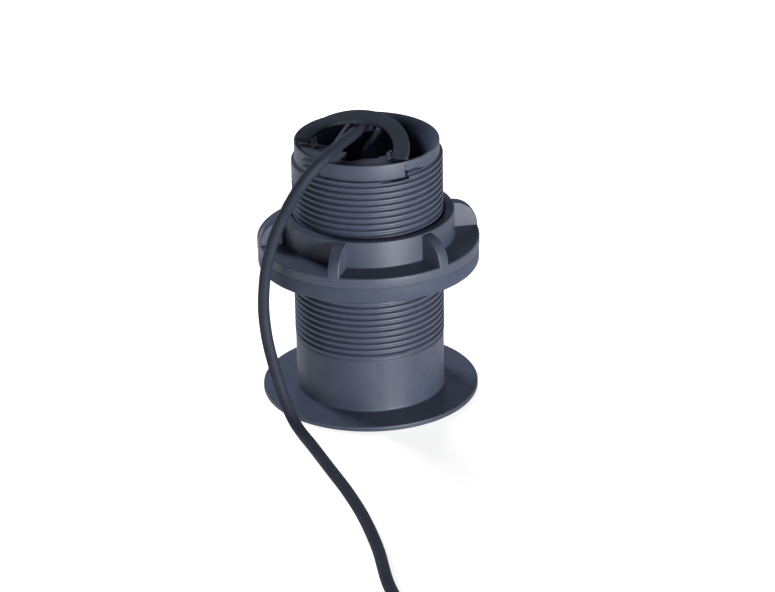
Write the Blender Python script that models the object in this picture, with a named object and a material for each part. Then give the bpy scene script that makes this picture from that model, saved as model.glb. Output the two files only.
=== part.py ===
"""Thru-hull sonar transducer: a flanged, threaded stem with its hull nut, washer, insert and cable.

Frame: metres, +Z up along the stem. The origin is the centre of the flange's lower face, which
stands on the floor. Azimuths are in degrees, 0 toward -Y (the front) and positive toward +X.
Heights named *_HEIGHT or *_LEVEL are measured from the flange's lower face.
"""
import math

import bmesh
import bpy
from mathutils import Matrix, Vector

MM = 0.001

# Clearances
SEAT_GAP = 0.3 * MM
NUT_CLEARANCE = 0.5 * MM
PIVOT_CLEARANCE = 0.3 * MM

# Housing: flange, barrel and threaded stem in one moulding
HOUSING_HEIGHT = 91.3 * MM
THREAD_DIAMETER = 51.0 * MM
THREAD_DEPTH = 1.2 * MM
THREAD_PITCH = 2.187 * MM
THREAD_LOW_END = 20.3 * MM
THREAD_TOP_RUNOUT = 1.0 * MM
NECK_DEPTH = 4.6 * MM
NECK_FROM, NECK_TO = 70.0, 238.0
BARREL_RELIEF = 0.2 * MM
BARREL_DIAMETER = THREAD_DIAMETER - 2 * BARREL_RELIEF
FLANGE_OVERHANG = 11.6 * MM
FLANGE_DIAMETER = BARREL_DIAMETER + 2 * FLANGE_OVERHANG
FLANGE_THICKNESS = 1.8 * MM
FLANGE_FILLET = 1.7 * MM
STEM_WALL = 3.6 * MM
BORE_DIAMETER = THREAD_DIAMETER - 2 * STEM_WALL
MOUTH_WALL = 0.7 * MM
MOUTH_CHAMFER_DEPTH = 2.5 * MM
LIP_WIDTH = 1.9 * MM
LIP_BORE_DIAMETER = BORE_DIAMETER - 2 * LIP_WIDTH
LIP_THICKNESS = 6.0 * MM
COLLAR_CUT = 1.1 * MM
COLLAR_DIAMETER = THREAD_DIAMETER - 2 * COLLAR_CUT
COLLAR_DEPTH = 5.5 * MM
COLLAR_FROM, COLLAR_TO = -40.0, 32.0
PAD_DEPTH = 12.3 * MM
PAD_FROM, PAD_TO = -122.0, -57.0

# Hull nut and the washer under it
NUT_UNDERSIDE_LEVEL = 53.05 * MM
NUT_HUB_WALL = 3.2 * MM
NUT_HUB_DIAMETER = THREAD_DIAMETER + 2 * (NUT_CLEARANCE + NUT_HUB_WALL)
NUT_RIM_WIDTH = 8.45 * MM
NUT_DIAMETER = NUT_HUB_DIAMETER + 2 * NUT_RIM_WIDTH
NUT_RIM_THICKNESS = 3.65 * MM
NUT_HUB_HEIGHT = 9.4 * MM
NUT_HUB_FILLET = 1.6 * MM
NUT_EDGE_BEVEL = 0.5 * MM
FIN_COUNT = 6
FIN_THICKNESS = 4.0 * MM
FIN_AZIMUTH = -18.0
FIN_RIM_INSET = 0.25 * MM
WASHER_WIDTH = 11.5 * MM
WASHER_DIAMETER = THREAD_DIAMETER + 2 * (NUT_CLEARANCE + WASHER_WIDTH)
WASHER_THICKNESS = 5.05 * MM

# Insert: the sealed shell that carries the sensing element
SHELL_TOP_LEVEL = 60.0 * MM
SHELL_WALL = 4.6 * MM
SHELL_RECESS = 0.3 * MM
O_RING_SECTION = 2.3 * MM
O_RING_GROOVE_DEPTH = 2.6 * MM
LOWER_O_RING_LEVEL = 14.0 * MM
UPPER_O_RING_LEVEL = 50.0 * MM
WINDOW_THICKNESS = 3.5 * MM
LINER_WALL = 3.9 * MM
PIEZO_THICKNESS = 4.0 * MM
BACKING_THICKNESS = 6.0 * MM
POTTING_THICKNESS = 26.0 * MM
WIRE_PASSAGE_DIAMETER = 6.0 * MM
WIRE_DIAMETER = 1.2 * MM
WIRE_SPACING = 2.4 * MM
GASKET_THICKNESS = 1.2 * MM

# Insert head: floor, crescent ledge at the mouth, two ribs and the clips of the pull ring
HEAD_FLOOR_THICKNESS = 4.0 * MM
LEDGE_DROP = 0.3 * MM
LEDGE_WALL = 2.3 * MM
LEDGE_FROM, LEDGE_TO = -102.0, 40.0
LEFT_PAD_WIDTH = 8.6 * MM
LEFT_PAD_FROM, LEFT_PAD_TO = -86.0, -28.0
LEFT_PAD_TAPER = 20.0
RIGHT_PAD_WIDTH = 5.8 * MM
RIGHT_PAD_FROM = 14.0
LEDGE_MOUTH_GAP = 0.4 * MM
RIB_THICKNESS = 1.4 * MM
RIB_DROP = 0.8 * MM
RIB_SLOPE = 6.0 * MM
RIB_HEADING = 15.0
RIB_BACK_MARGIN = 2.0 * MM
LEFT_RIB_FRONT = (-11.0 * MM, -2.7 * MM)
RIGHT_RIB_FRONT = (-1.6 * MM, -10.0 * MM)

# Pull ring: a flat part-round ring hinged on a line across the ledge
PULL_RIM_INSET = 0.85 * MM
PULL_BAND_WIDTH = 5.35 * MM
PULL_CENTRE_DROP = 3.0 * MM
PULL_THICKNESS = 1.6 * MM
PULL_LINE_SHIFT = 0.5 * MM
PULL_HEADING = -26.0
PULL_LEAN = 23.4
PULL_STUD_DIAMETER = 1.2 * MM
PULL_STUD_LENGTH = 2.0 * MM
CLIP_WIDTH = 1.0 * MM
CLIP_WALL = 0.6 * MM
CLIP_MOUTH = 1.0 * MM
CLIP_ROOT = 2.0 * MM
CLIP_RIM_INSET = 2.917 * MM

# Cable, its coil and its plug
CABLE_DIAMETER = 4.0 * MM
BOOT_WALL_INSET = 6.0 * MM
BOOT_RIB_GAP = 0.595 * MM
BOOT_RISE = 13.0 * MM
BOOT_WALL = 0.4 * MM
BOOT_FOOT_DIAMETER = 9.0 * MM
BOOT_FOOT_THICKNESS = 2.0 * MM
TUBE_SPACING = 7.5 * MM
COIL_CENTRE = (0.0 * MM, -232.0 * MM)
COIL_MEAN_DIAMETER = 62.0 * MM
COIL_COLUMNS = 5
COIL_LAYERS = 6
TIE_THICKNESS = 0.9 * MM
TIE_WIDTH = 3.6 * MM
TIE_AZIMUTHS = (40.0, 250.0)
PLUG_DIAMETER = 18.0 * MM
PLUG_LENGTH = 30.0 * MM
PLUG_SHOULDER_LENGTH = 4.0 * MM
PLUG_RECESS_DEPTH = 9.0 * MM
PLUG_WALL = 1.8 * MM
PLUG_OFFSET = 24.0 * MM
PLUG_BACK_X = 8.0 * MM
PLUG_BOOT_LENGTH = 14.0 * MM
PLUG_BOOT_DIAMETER = 9.0 * MM
CONTACT_COUNT = 4
CONTACT_DIAMETER = 1.6 * MM
CONTACT_LENGTH = 4.6 * MM
CONTACT_CIRCLE = 7.0 * MM
PLUG_SEAL_SECTION = 1.0 * MM

# Facets
STEM_SEGMENTS = 32
NUT_SEGMENTS = 48
INSERT_SEGMENTS = 32
SMALL_SEGMENTS = 16
BREAK_WIDTH = 0.6

# Sizes worked out from the ones above
THREAD_RADIUS = THREAD_DIAMETER / 2
ROOT_RADIUS = THREAD_RADIUS - THREAD_DEPTH
BORE_RADIUS = BORE_DIAMETER / 2
NUT_BORE_RADIUS = THREAD_RADIUS + NUT_CLEARANCE
NUT_RIM_TOP = NUT_UNDERSIDE_LEVEL + NUT_RIM_THICKNESS
NUT_HUB_TOP = NUT_RIM_TOP + NUT_HUB_HEIGHT
SHELL_RADIUS = BORE_RADIUS - SEAT_GAP
SHELL_BORE_RADIUS = SHELL_RADIUS - SHELL_WALL
FILL_RADIUS = SHELL_BORE_RADIUS - SEAT_GAP
PIEZO_DIAMETER = 2 * (FILL_RADIUS - SEAT_GAP - LINER_WALL)
PIEZO_LEVEL = SHELL_RECESS + WINDOW_THICKNESS + SEAT_GAP
BACKING_LEVEL = PIEZO_LEVEL + PIEZO_THICKNESS + SEAT_GAP
POTTING_LEVEL = BACKING_LEVEL + BACKING_THICKNESS + SEAT_GAP
HEAD_LEVEL = SHELL_TOP_LEVEL + GASKET_THICKNESS + 2 * SEAT_GAP
HEAD_FLOOR_TOP = HEAD_LEVEL + HEAD_FLOOR_THICKNESS
LEDGE_LEVEL = HOUSING_HEIGHT - LEDGE_DROP
PULL_OUTER_RADIUS = SHELL_RADIUS - PULL_RIM_INSET
PULL_INNER_RADIUS = PULL_OUTER_RADIUS - PULL_BAND_WIDTH
PULL_FOOT_OUT = math.sqrt(PULL_OUTER_RADIUS ** 2 - PULL_CENTRE_DROP ** 2)
PULL_FOOT_IN = math.sqrt(PULL_INNER_RADIUS ** 2 - PULL_CENTRE_DROP ** 2)
CLIP_HALF = PULL_STUD_DIAMETER / 2 + PIVOT_CLEARANCE + CLIP_WALL
CLIP_FACE = math.sqrt(PULL_INNER_RADIUS ** 2 - (PULL_CENTRE_DROP + CLIP_HALF) ** 2) - SEAT_GAP
CLIP_REACH = CLIP_FACE - CLIP_WIDTH / 2
PULL_LINE_OFFSET = math.sqrt((SHELL_RADIUS - CLIP_RIM_INSET) ** 2 - CLIP_REACH ** 2)
PULL_LEVEL = HOUSING_HEIGHT + PULL_THICKNESS / 2 + PIVOT_CLEARANCE
BOOT_RADIUS = CABLE_DIAMETER / 2 + BOOT_WALL
BOOT_TOP = HEAD_FLOOR_TOP + BOOT_RISE
RIB_SINE, RIB_COSINE = math.sin(math.radians(RIB_HEADING)), math.cos(math.radians(RIB_HEADING))
RIGHT_RIB_ACROSS = RIGHT_RIB_FRONT[0] * RIB_COSINE - RIGHT_RIB_FRONT[1] * RIB_SINE
BOOT_ACROSS = RIGHT_RIB_ACROSS - RIB_THICKNESS / 2 - BOOT_RIB_GAP - BOOT_RADIUS
BOOT_ALONG = math.sqrt((SHELL_BORE_RADIUS - BOOT_WALL_INSET) ** 2 - BOOT_ACROSS ** 2)
BOOT_POSITION = (BOOT_ACROSS * RIB_COSINE + BOOT_ALONG * RIB_SINE,
                 BOOT_ALONG * RIB_COSINE - BOOT_ACROSS * RIB_SINE)
COIL_FLOOR = TIE_THICKNESS + SEAT_GAP
COIL_HEIGHT = COIL_LAYERS * CABLE_DIAMETER
COIL_TOP = COIL_FLOOR + COIL_HEIGHT
COIL_INNER_RADIUS = (COIL_MEAN_DIAMETER - COIL_COLUMNS * CABLE_DIAMETER) / 2
COIL_OUTER_RADIUS = (COIL_MEAN_DIAMETER + COIL_COLUMNS * CABLE_DIAMETER) / 2
PLUG_LEVEL = COIL_TOP + SEAT_GAP + PLUG_DIAMETER / 2

# How the cable rises from the boot's top, as (x, y, height) from its centre
LEAD_RISE = [(0.0, 0.0, 0.3), (0.0, 0.1, 5.2), (0.1, -0.2, 9.8)]
# The cable's route from above the mouth to the coil, chosen by hand
LEAD_ROUTE = [
    (0.1, 9.4, 92.0), (-0.9, 5.9, 93.8),
    (-2.6, 0.8, 94.2), (-5.3, -6.0, 94.5), (-8.6, -13.0, 94.7), (-12.0, -19.5, 94.0), (-16.0, -24.0, 91.8),
    (-20.2, -26.0, 87.6), (-23.8, -26.2, 82.0), (-27.1, -25.6, 75.6), (-29.9, -25.2, 69.6),
    (-32.1, -25.4, 63.0), (-34.0, -25.6, 55.0), (-35.0, -25.4, 46.0), (-35.1, -25.2, 38.0),
    (-34.0, -26.2, 28.5), (-31.6, -28.4, 18.5), (-28.8, -31.4, 9.6), (-26.0, -35.4, 4.2),
    (-23.2, -41.0, 2.3), (-19.6, -50.0, 2.1), (-13.6, -66.5, 2.1), (-7.6, -83.0, 2.1),
    (-2.4, -100.5, 2.1), (2.0, -121.0, 2.1), (6.0, -147.0, 2.1), (14.5, -170.0, 2.1),
    (27.6, -188.0, 2.1), (37.2, -204.0, 2.6), (42.2, -219.0, 3.2), (43.4, -231.0, 3.4),
]
# The cable's last stretch, over the top of the coil to the plug
TAIL_ROUTE = [
    (-12.0, -203.4, 27.6), (-4.0, -201.2, 27.9), (5.0, -201.2, 27.9), (14.0, -204.6, 27.9),
    (22.2, -211.0, 27.9), (29.0, -220.0, 28.2), (33.6, -230.6, 29.2), (36.2, -240.0, 31.2),
    (36.6, -247.6, 33.2), (34.6, -253.4, 34.2), (30.6, -256.0, 34.5), (26.4, -256.0, 34.5),
    (22.6, -256.0, 34.5),
]


def polar(radius, azimuth):
    """Return the plan position at a radius and azimuth."""
    angle = math.radians(azimuth)
    return radius * math.sin(angle), -radius * math.cos(angle)


def finish(name, colour, roughness, metallic=0.0):
    """Return a Principled material."""
    material = bpy.data.materials.new(name)
    material.use_nodes = True
    shader = material.node_tree.nodes["Principled BSDF"]
    shader.inputs["Base Color"].default_value = (*colour, 1.0)
    shader.inputs["Roughness"].default_value = roughness
    shader.inputs["Metallic"].default_value = metallic
    material.diffuse_color = (*colour, 1.0)
    return material


def solid(name, mesh_edit, material, smooth_angle=35.0):
    """Turn a bmesh into a named object with outward faces, shaded smooth between sharp edges."""
    bmesh.ops.remove_doubles(mesh_edit, verts=mesh_edit.verts, dist=1e-6)
    bmesh.ops.recalc_face_normals(mesh_edit, faces=mesh_edit.faces)
    mesh = bpy.data.meshes.new(name)
    mesh_edit.to_mesh(mesh)
    mesh_edit.free()
    mesh.shade_smooth()
    mesh.set_sharp_from_angle(angle=math.radians(smooth_angle))
    mesh.materials.append(material)
    piece = bpy.data.objects.new(name, mesh)
    bpy.context.collection.objects.link(piece)
    return piece


def turned(name, outline, segments, material, place=(0.0, 0.0, 0.0)):
    """Spin an outline of (radius, height) points about Z. An outline that ends on the axis is open."""
    edit = bmesh.new()
    points = [edit.verts.new((radius, 0.0, height)) for radius, height in outline]
    edges = [edit.edges.new(pair) for pair in zip(points, points[1:])]
    if outline[0][0] > 0.0:
        edges.append(edit.edges.new((points[-1], points[0])))
    bmesh.ops.spin(edit, geom=points + edges, cent=(0, 0, 0), axis=(0, 0, 1),
                   angle=2 * math.pi, steps=segments)
    piece = solid(name, edit, material)
    piece.location = place
    return piece


def prism(name, outline, low, high, material):
    """Extrude a plan outline of (x, y) points from one height to another."""
    edit = bmesh.new()
    face = edit.faces.new([edit.verts.new((x, y, low)) for x, y in outline])
    raised = bmesh.ops.extrude_face_region(edit, geom=[face])
    moved = [item for item in raised["geom"] if isinstance(item, bmesh.types.BMVert)]
    bmesh.ops.translate(edit, verts=moved, vec=(0, 0, high - low))
    return solid(name, edit, material)


def rod(name, start, end, radius, segments, material):
    """A round bar between two points."""
    start, end = Vector(start), Vector(end)
    edit = bmesh.new()
    turn = (end - start).to_track_quat("Z", "Y").to_matrix().to_4x4()
    middle = Matrix.Translation((start + end) / 2) @ turn
    bmesh.ops.create_cone(edit, cap_ends=True, segments=segments, radius1=radius,
                          radius2=radius, depth=(end - start).length, matrix=middle)
    return solid(name, edit, material)


def as_tool(piece):
    """Mark an operand, so that only what it adds or cuts is part of the model."""
    piece.hide_render = True
    piece.display_type = "WIRE"
    return piece


def combine(piece, tool, operation):
    """Add an exact Boolean of a tool to a piece."""
    modifier = piece.modifiers.new(tool.name, "BOOLEAN")
    modifier.solver = "EXACT"
    modifier.operation = operation
    modifier.object = as_tool(tool)


def azimuth_columns(segments, breaks):
    """Even azimuths all round, with a close pair at each azimuth where the form changes."""
    step = 360.0 / segments
    even = [-180.0 + step * index for index in range(segments)]
    pairs = [edge + side for edge in breaks for side in (-BREAK_WIDTH / 2, BREAK_WIDTH / 2)]
    kept = [angle for angle in even if all(abs(angle - pair) > step / 4 for pair in pairs)]
    columns = sorted(kept + pairs)
    return columns + [columns[0] + 360.0]


def stem_radius(azimuth, height, on_crest):
    """Outer radius of the stem where it is threaded, with its collar and its plain pad."""
    below_rim = HOUSING_HEIGHT - height
    in_collar = COLLAR_FROM < azimuth < COLLAR_TO
    in_pad = PAD_FROM < azimuth < PAD_TO
    in_neck = NECK_FROM < azimuth % 360.0 < NECK_TO
    if below_rim < NECK_DEPTH and in_neck:
        return COLLAR_DIAMETER / 2
    if below_rim < COLLAR_DEPTH and (in_collar or in_pad):
        return COLLAR_DIAMETER / 2
    if below_rim < PAD_DEPTH and in_pad:
        return THREAD_RADIUS
    return THREAD_RADIUS if on_crest else ROOT_RADIUS


def thread_rows(azimuth, first_azimuth):
    """The (radius, height) points up the thread at one azimuth: a crest and a root for each turn."""
    low = THREAD_LOW_END
    high = HOUSING_HEIGHT - THREAD_TOP_RUNOUT
    turns = math.ceil((high - low) / THREAD_PITCH) + 1
    share = (azimuth - first_azimuth) / 360.0
    rows = []
    for half_turn in range(-2, 2 * turns + 1):
        height = low + THREAD_PITCH * (half_turn / 2 + share)
        if height <= low:
            rows.append((BARREL_DIAMETER / 2, low))
        elif height >= high:
            rows.append((COLLAR_DIAMETER / 2, high))
        else:
            plan_azimuth = (azimuth + 180.0) % 360.0 - 180.0
            rows.append((stem_radius(plan_azimuth, height, half_turn % 2 == 0), height))
    return rows


def fillet_points(radius, height, size, steps=3):
    """Points of a concave quarter round between a flat (outer end) and a wall (upper end)."""
    angles = [math.pi / 2 * index / steps for index in range(steps + 1)]
    return [(radius + size * (1 - math.sin(angle)), height + size * (1 - math.cos(angle)))
            for angle in angles]


def build_housing(material):
    """The one-piece moulding: flange, plain barrel, helical thread, collar, pad and stepped bore."""
    columns = azimuth_columns(STEM_SEGMENTS, (PAD_FROM, PAD_TO, COLLAR_FROM, COLLAR_TO))
    foot = [(LIP_BORE_DIAMETER / 2, 0.0), (FLANGE_DIAMETER / 2, 0.0),
            (FLANGE_DIAMETER / 2, FLANGE_THICKNESS)]
    foot += fillet_points(BARREL_DIAMETER / 2, FLANGE_THICKNESS, FLANGE_FILLET)
    mouth = [(COLLAR_DIAMETER / 2, HOUSING_HEIGHT - THREAD_TOP_RUNOUT / 4),
             (COLLAR_DIAMETER / 2 - THREAD_TOP_RUNOUT / 4, HOUSING_HEIGHT),
             (COLLAR_DIAMETER / 2 - MOUTH_WALL, HOUSING_HEIGHT),
             (BORE_RADIUS, HOUSING_HEIGHT - MOUTH_CHAMFER_DEPTH),
             (BORE_RADIUS, LIP_THICKNESS),
             (LIP_BORE_DIAMETER / 2, LIP_THICKNESS)]
    edit = bmesh.new()
    lines = []
    for azimuth in columns:
        rows = foot + thread_rows(azimuth, columns[0]) + mouth
        lines.append([edit.verts.new((*polar(radius, azimuth), height)) for radius, height in rows])
    for left, right in zip(lines, lines[1:]):
        for row in range(len(left)):
            above = (row + 1) % len(left)
            edit.faces.new((left[row], right[row], right[above], left[above]))
    return solid("housing", edit, material, smooth_angle=25.0)


def build_nut(material):
    """The hull nut: a rim, a hub with a fillet at its foot, and quarter-round fins between them."""
    rim, hub, edge = NUT_DIAMETER / 2, NUT_HUB_DIAMETER / 2, NUT_EDGE_BEVEL
    outline = [(NUT_BORE_RADIUS, NUT_UNDERSIDE_LEVEL), (rim - edge, NUT_UNDERSIDE_LEVEL),
               (rim, NUT_UNDERSIDE_LEVEL + edge), (rim, NUT_RIM_TOP - edge), (rim - edge, NUT_RIM_TOP)]
    outline += fillet_points(hub, NUT_RIM_TOP, NUT_HUB_FILLET)
    outline += [(hub, NUT_HUB_TOP - edge), (hub - edge, NUT_HUB_TOP),
                (NUT_BORE_RADIUS + edge, NUT_HUB_TOP), (NUT_BORE_RADIUS, NUT_HUB_TOP - edge)]
    nut = turned("hull_nut", outline, NUT_SEGMENTS, material)
    reach = rim - FIN_RIM_INSET - hub
    rise = NUT_HUB_HEIGHT - edge
    root = (NUT_HUB_DIAMETER / 2 - NUT_BORE_RADIUS) / 2
    bury = NUT_RIM_THICKNESS / 2
    arc = [(hub + reach * math.cos(angle), NUT_RIM_TOP + rise * math.sin(angle))
           for angle in (math.pi / 2 * index / 8 for index in range(9))]
    side = [(hub - root, NUT_RIM_TOP - bury), (arc[0][0], NUT_RIM_TOP - bury)] + arc
    side += [(hub - root, NUT_RIM_TOP + rise)]
    for index in range(FIN_COUNT):
        edit = bmesh.new()
        face = edit.faces.new([edit.verts.new((-FIN_THICKNESS / 2, -radius, height))
                               for radius, height in side])
        raised = bmesh.ops.extrude_face_region(edit, geom=[face])
        moved = [item for item in raised["geom"] if isinstance(item, bmesh.types.BMVert)]
        bmesh.ops.translate(edit, verts=moved, vec=(FIN_THICKNESS, 0, 0))
        fin = solid(f"fin_tool_{index}", edit, material)
        fin.rotation_euler.z = math.radians(FIN_AZIMUTH + 360.0 / FIN_COUNT * index)
        combine(nut, fin, "UNION")
    return nut


def build_washer(material):
    """The flat sealing washer that the nut presses on the hull."""
    top = NUT_UNDERSIDE_LEVEL - SEAT_GAP
    low = top - WASHER_THICKNESS
    rim, edge = WASHER_DIAMETER / 2, NUT_EDGE_BEVEL
    outline = [(NUT_BORE_RADIUS, low), (rim - edge, low), (rim, low + edge),
               (rim, top - edge), (rim - edge, top), (NUT_BORE_RADIUS, top)]
    return turned("hull_washer", outline, NUT_SEGMENTS, material)


def groove(level):
    """Points of an O-ring groove in the shell's side, from its lower corner to its upper one."""
    half = O_RING_SECTION / 2 + SEAT_GAP
    floor = SHELL_RADIUS - O_RING_GROOVE_DEPTH
    return [(SHELL_RADIUS, level - half), (floor, level - half),
            (floor, level + half), (SHELL_RADIUS, level + half)]


def build_shell(material):
    """The insert's shell: a tube with a nose that seats on the housing's lip and two seal grooves."""
    nose = LIP_BORE_DIAMETER / 2 - SEAT_GAP
    outline = [(SHELL_BORE_RADIUS, SHELL_RECESS), (nose, SHELL_RECESS),
               (nose, LIP_THICKNESS + SEAT_GAP), (SHELL_RADIUS, LIP_THICKNESS + SEAT_GAP)]
    outline += groove(LOWER_O_RING_LEVEL) + groove(UPPER_O_RING_LEVEL)
    outline += [(SHELL_RADIUS, SHELL_TOP_LEVEL), (SHELL_BORE_RADIUS, SHELL_TOP_LEVEL)]
    return turned("insert_shell", outline, INSERT_SEGMENTS, material)


def build_o_ring(name, level, material):
    """A round-section ring between its groove's floor and the housing's bore."""
    space = (SHELL_RADIUS - O_RING_GROOVE_DEPTH, BORE_RADIUS)
    centre, half = sum(space) / 2, O_RING_SECTION / 2
    section = [(centre + half * math.cos(math.pi / 3 * side), level + half * math.sin(math.pi / 3 * side))
               for side in range(6)]
    return turned(name, section, INSERT_SEGMENTS, material)


def disc(name, inner, outer, low, high, material, segments=INSERT_SEGMENTS):
    """A flat round piece, with a hole where inner is more than zero."""
    outline = [(inner, low), (outer, low), (outer, high), (inner, high)]
    return turned(name, outline, segments, material)


def ledge_column(azimuth):
    """The crescent's section at one azimuth, from its inner foot round to its inner top."""
    width = LEDGE_WALL
    if LEFT_PAD_FROM < azimuth < LEFT_PAD_TO:
        share = min(1.0, (azimuth - LEFT_PAD_FROM) / LEFT_PAD_TAPER)
        width += (LEFT_PAD_WIDTH - LEDGE_WALL) * share
    elif azimuth > RIGHT_PAD_FROM:
        width = RIGHT_PAD_WIDTH
    inner = SHELL_RADIUS - width
    mouth_radius = COLLAR_DIAMETER / 2 - MOUTH_WALL
    slope = (mouth_radius - BORE_RADIUS) / MOUTH_CHAMFER_DEPTH
    outer = mouth_radius - slope * LEDGE_DROP - LEDGE_MOUTH_GAP
    foot = HEAD_FLOOR_TOP - HEAD_FLOOR_THICKNESS / 2
    neck = HOUSING_HEIGHT - MOUTH_CHAMFER_DEPTH - SEAT_GAP
    return [(inner, foot), (SHELL_RADIUS, foot), (SHELL_RADIUS, neck),
            (outer, LEDGE_LEVEL), (inner, LEDGE_LEVEL)]


def build_crescent(material):
    """The ledge at the mouth: a part-round wall with a wider pad under each foot of the ring."""
    span = LEDGE_TO - LEDGE_FROM
    steps = max(6, round(INSERT_SEGMENTS * span / 360.0))
    columns = [LEDGE_FROM + span * index / steps for index in range(steps + 1)]
    half_break = BREAK_WIDTH / 2
    pairs = [edge + side for edge in (LEFT_PAD_TO, RIGHT_PAD_FROM) for side in (-half_break, half_break)]
    columns = sorted([a for a in columns if all(abs(a - p) > 2.0 for p in pairs)] + pairs)
    edit = bmesh.new()
    rings = []
    for azimuth in columns:
        rings.append([edit.verts.new((*polar(radius, azimuth), height))
                      for radius, height in ledge_column(azimuth)])
    for left, right in zip(rings, rings[1:]):
        for row in range(len(left)):
            above = (row + 1) % len(left)
            edit.faces.new((left[row], right[row], right[above], left[above]))
    edit.faces.new(rings[0])
    edit.faces.new(rings[-1])
    return solid("crescent_tool", edit, material)


def build_rib(name, front, material):
    """A thin upright web on the head's floor, sloped down at its front end."""
    heading = Vector((math.sin(math.radians(RIB_HEADING)), math.cos(math.radians(RIB_HEADING)), 0.0))
    across = Vector((heading.y, -heading.x, 0.0)) * RIB_THICKNESS / 2
    start = Vector((*front, 0.0))
    wall = SHELL_RADIUS - RIB_BACK_MARGIN
    along = start.dot(heading)
    length = -along + math.sqrt(along * along - start.length_squared + wall * wall)
    foot = HEAD_FLOOR_TOP - HEAD_FLOOR_THICKNESS / 2
    top = HOUSING_HEIGHT - RIB_DROP
    side = [(0.0, foot), (length, foot), (length, top), (RIB_SLOPE / 2, top), (0.0, top - RIB_SLOPE)]
    edit = bmesh.new()
    face = edit.faces.new([edit.verts.new(start + heading * reach - across + Vector((0, 0, height)))
                           for reach, height in side])
    raised = bmesh.ops.extrude_face_region(edit, geom=[face])
    moved = [item for item in raised["geom"] if isinstance(item, bmesh.types.BMVert)]
    bmesh.ops.translate(edit, verts=moved, vec=across * 2)
    return solid(name, edit, material)


def pull_frame(lean):
    """Placement of the pull ring's axes: X along its pivot line, Y toward its crown."""
    heading = math.radians(PULL_HEADING)
    along = Vector((math.cos(heading), math.sin(heading), 0.0))
    back = Vector((-along.y, along.x, 0.0))
    middle = along * PULL_LINE_SHIFT - back * PULL_LINE_OFFSET + Vector((0, 0, PULL_LEVEL))
    turn = Matrix.Rotation(heading, 4, "Z") @ Matrix.Rotation(math.radians(lean), 4, "X")
    return Matrix.Translation(middle) @ turn


def build_clip(name, side, material):
    """An open-topped clip on the ledge that holds one stud of the pull ring."""
    hole = PULL_STUD_DIAMETER / 2 + PIVOT_CLEARANCE
    outer = CLIP_HALF
    opening = math.asin(min(0.95, CLIP_MOUTH / 2 / hole))
    inner_arc = [math.pi / 2 + opening + (2 * math.pi - 2 * opening) * index / 10 for index in range(11)]
    notch = [(hole * math.cos(angle), hole * math.sin(angle)) for angle in inner_arc]
    top = hole + CLIP_WALL / 2
    drop = PULL_LEVEL - LEDGE_LEVEL + CLIP_ROOT
    profile = [(-CLIP_MOUTH / 2, top), (-outer, top), (-outer, -drop), (outer, -drop),
               (outer, top), (CLIP_MOUTH / 2, top)] + notch[::-1]
    start = side * CLIP_FACE
    edit = bmesh.new()
    face = edit.faces.new([edit.verts.new((start, y, z)) for y, z in profile])
    raised = bmesh.ops.extrude_face_region(edit, geom=[face])
    moved = [item for item in raised["geom"] if isinstance(item, bmesh.types.BMVert)]
    bmesh.ops.translate(edit, verts=moved, vec=(-side * CLIP_WIDTH, 0, 0))
    clip = solid(name, edit, material)
    clip.matrix_world = pull_frame(0.0)
    return clip


def build_head(material):
    """The insert's head: floor, crescent ledge, two ribs and two clips in one moulding."""
    head = disc("insert_head", 0.0, SHELL_RADIUS - SEAT_GAP, HEAD_LEVEL, HEAD_FLOOR_TOP, material)
    hole = rod("boot_hole_tool", (*BOOT_POSITION, HEAD_LEVEL - HEAD_FLOOR_THICKNESS),
               (*BOOT_POSITION, HEAD_FLOOR_TOP + HEAD_FLOOR_THICKNESS), BOOT_RADIUS + SEAT_GAP,
               SMALL_SEGMENTS, material)
    combine(head, hole, "DIFFERENCE")
    combine(head, build_crescent(material), "UNION")
    combine(head, build_rib("left_rib_tool", LEFT_RIB_FRONT, material), "UNION")
    combine(head, build_rib("right_rib_tool", RIGHT_RIB_FRONT, material), "UNION")
    combine(head, build_clip("left_clip_tool", -1, material), "UNION")
    combine(head, build_clip("right_clip_tool", 1, material), "UNION")
    return head


def ring_point(radius, share):
    """A point of the ring's arc, from its right foot (0) round the crown to its left foot (1)."""
    foot = math.asin(PULL_CENTRE_DROP / radius)
    angle = foot + (math.pi - 2 * foot) * share
    return radius * math.cos(angle), radius * math.sin(angle) - PULL_CENTRE_DROP


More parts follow.
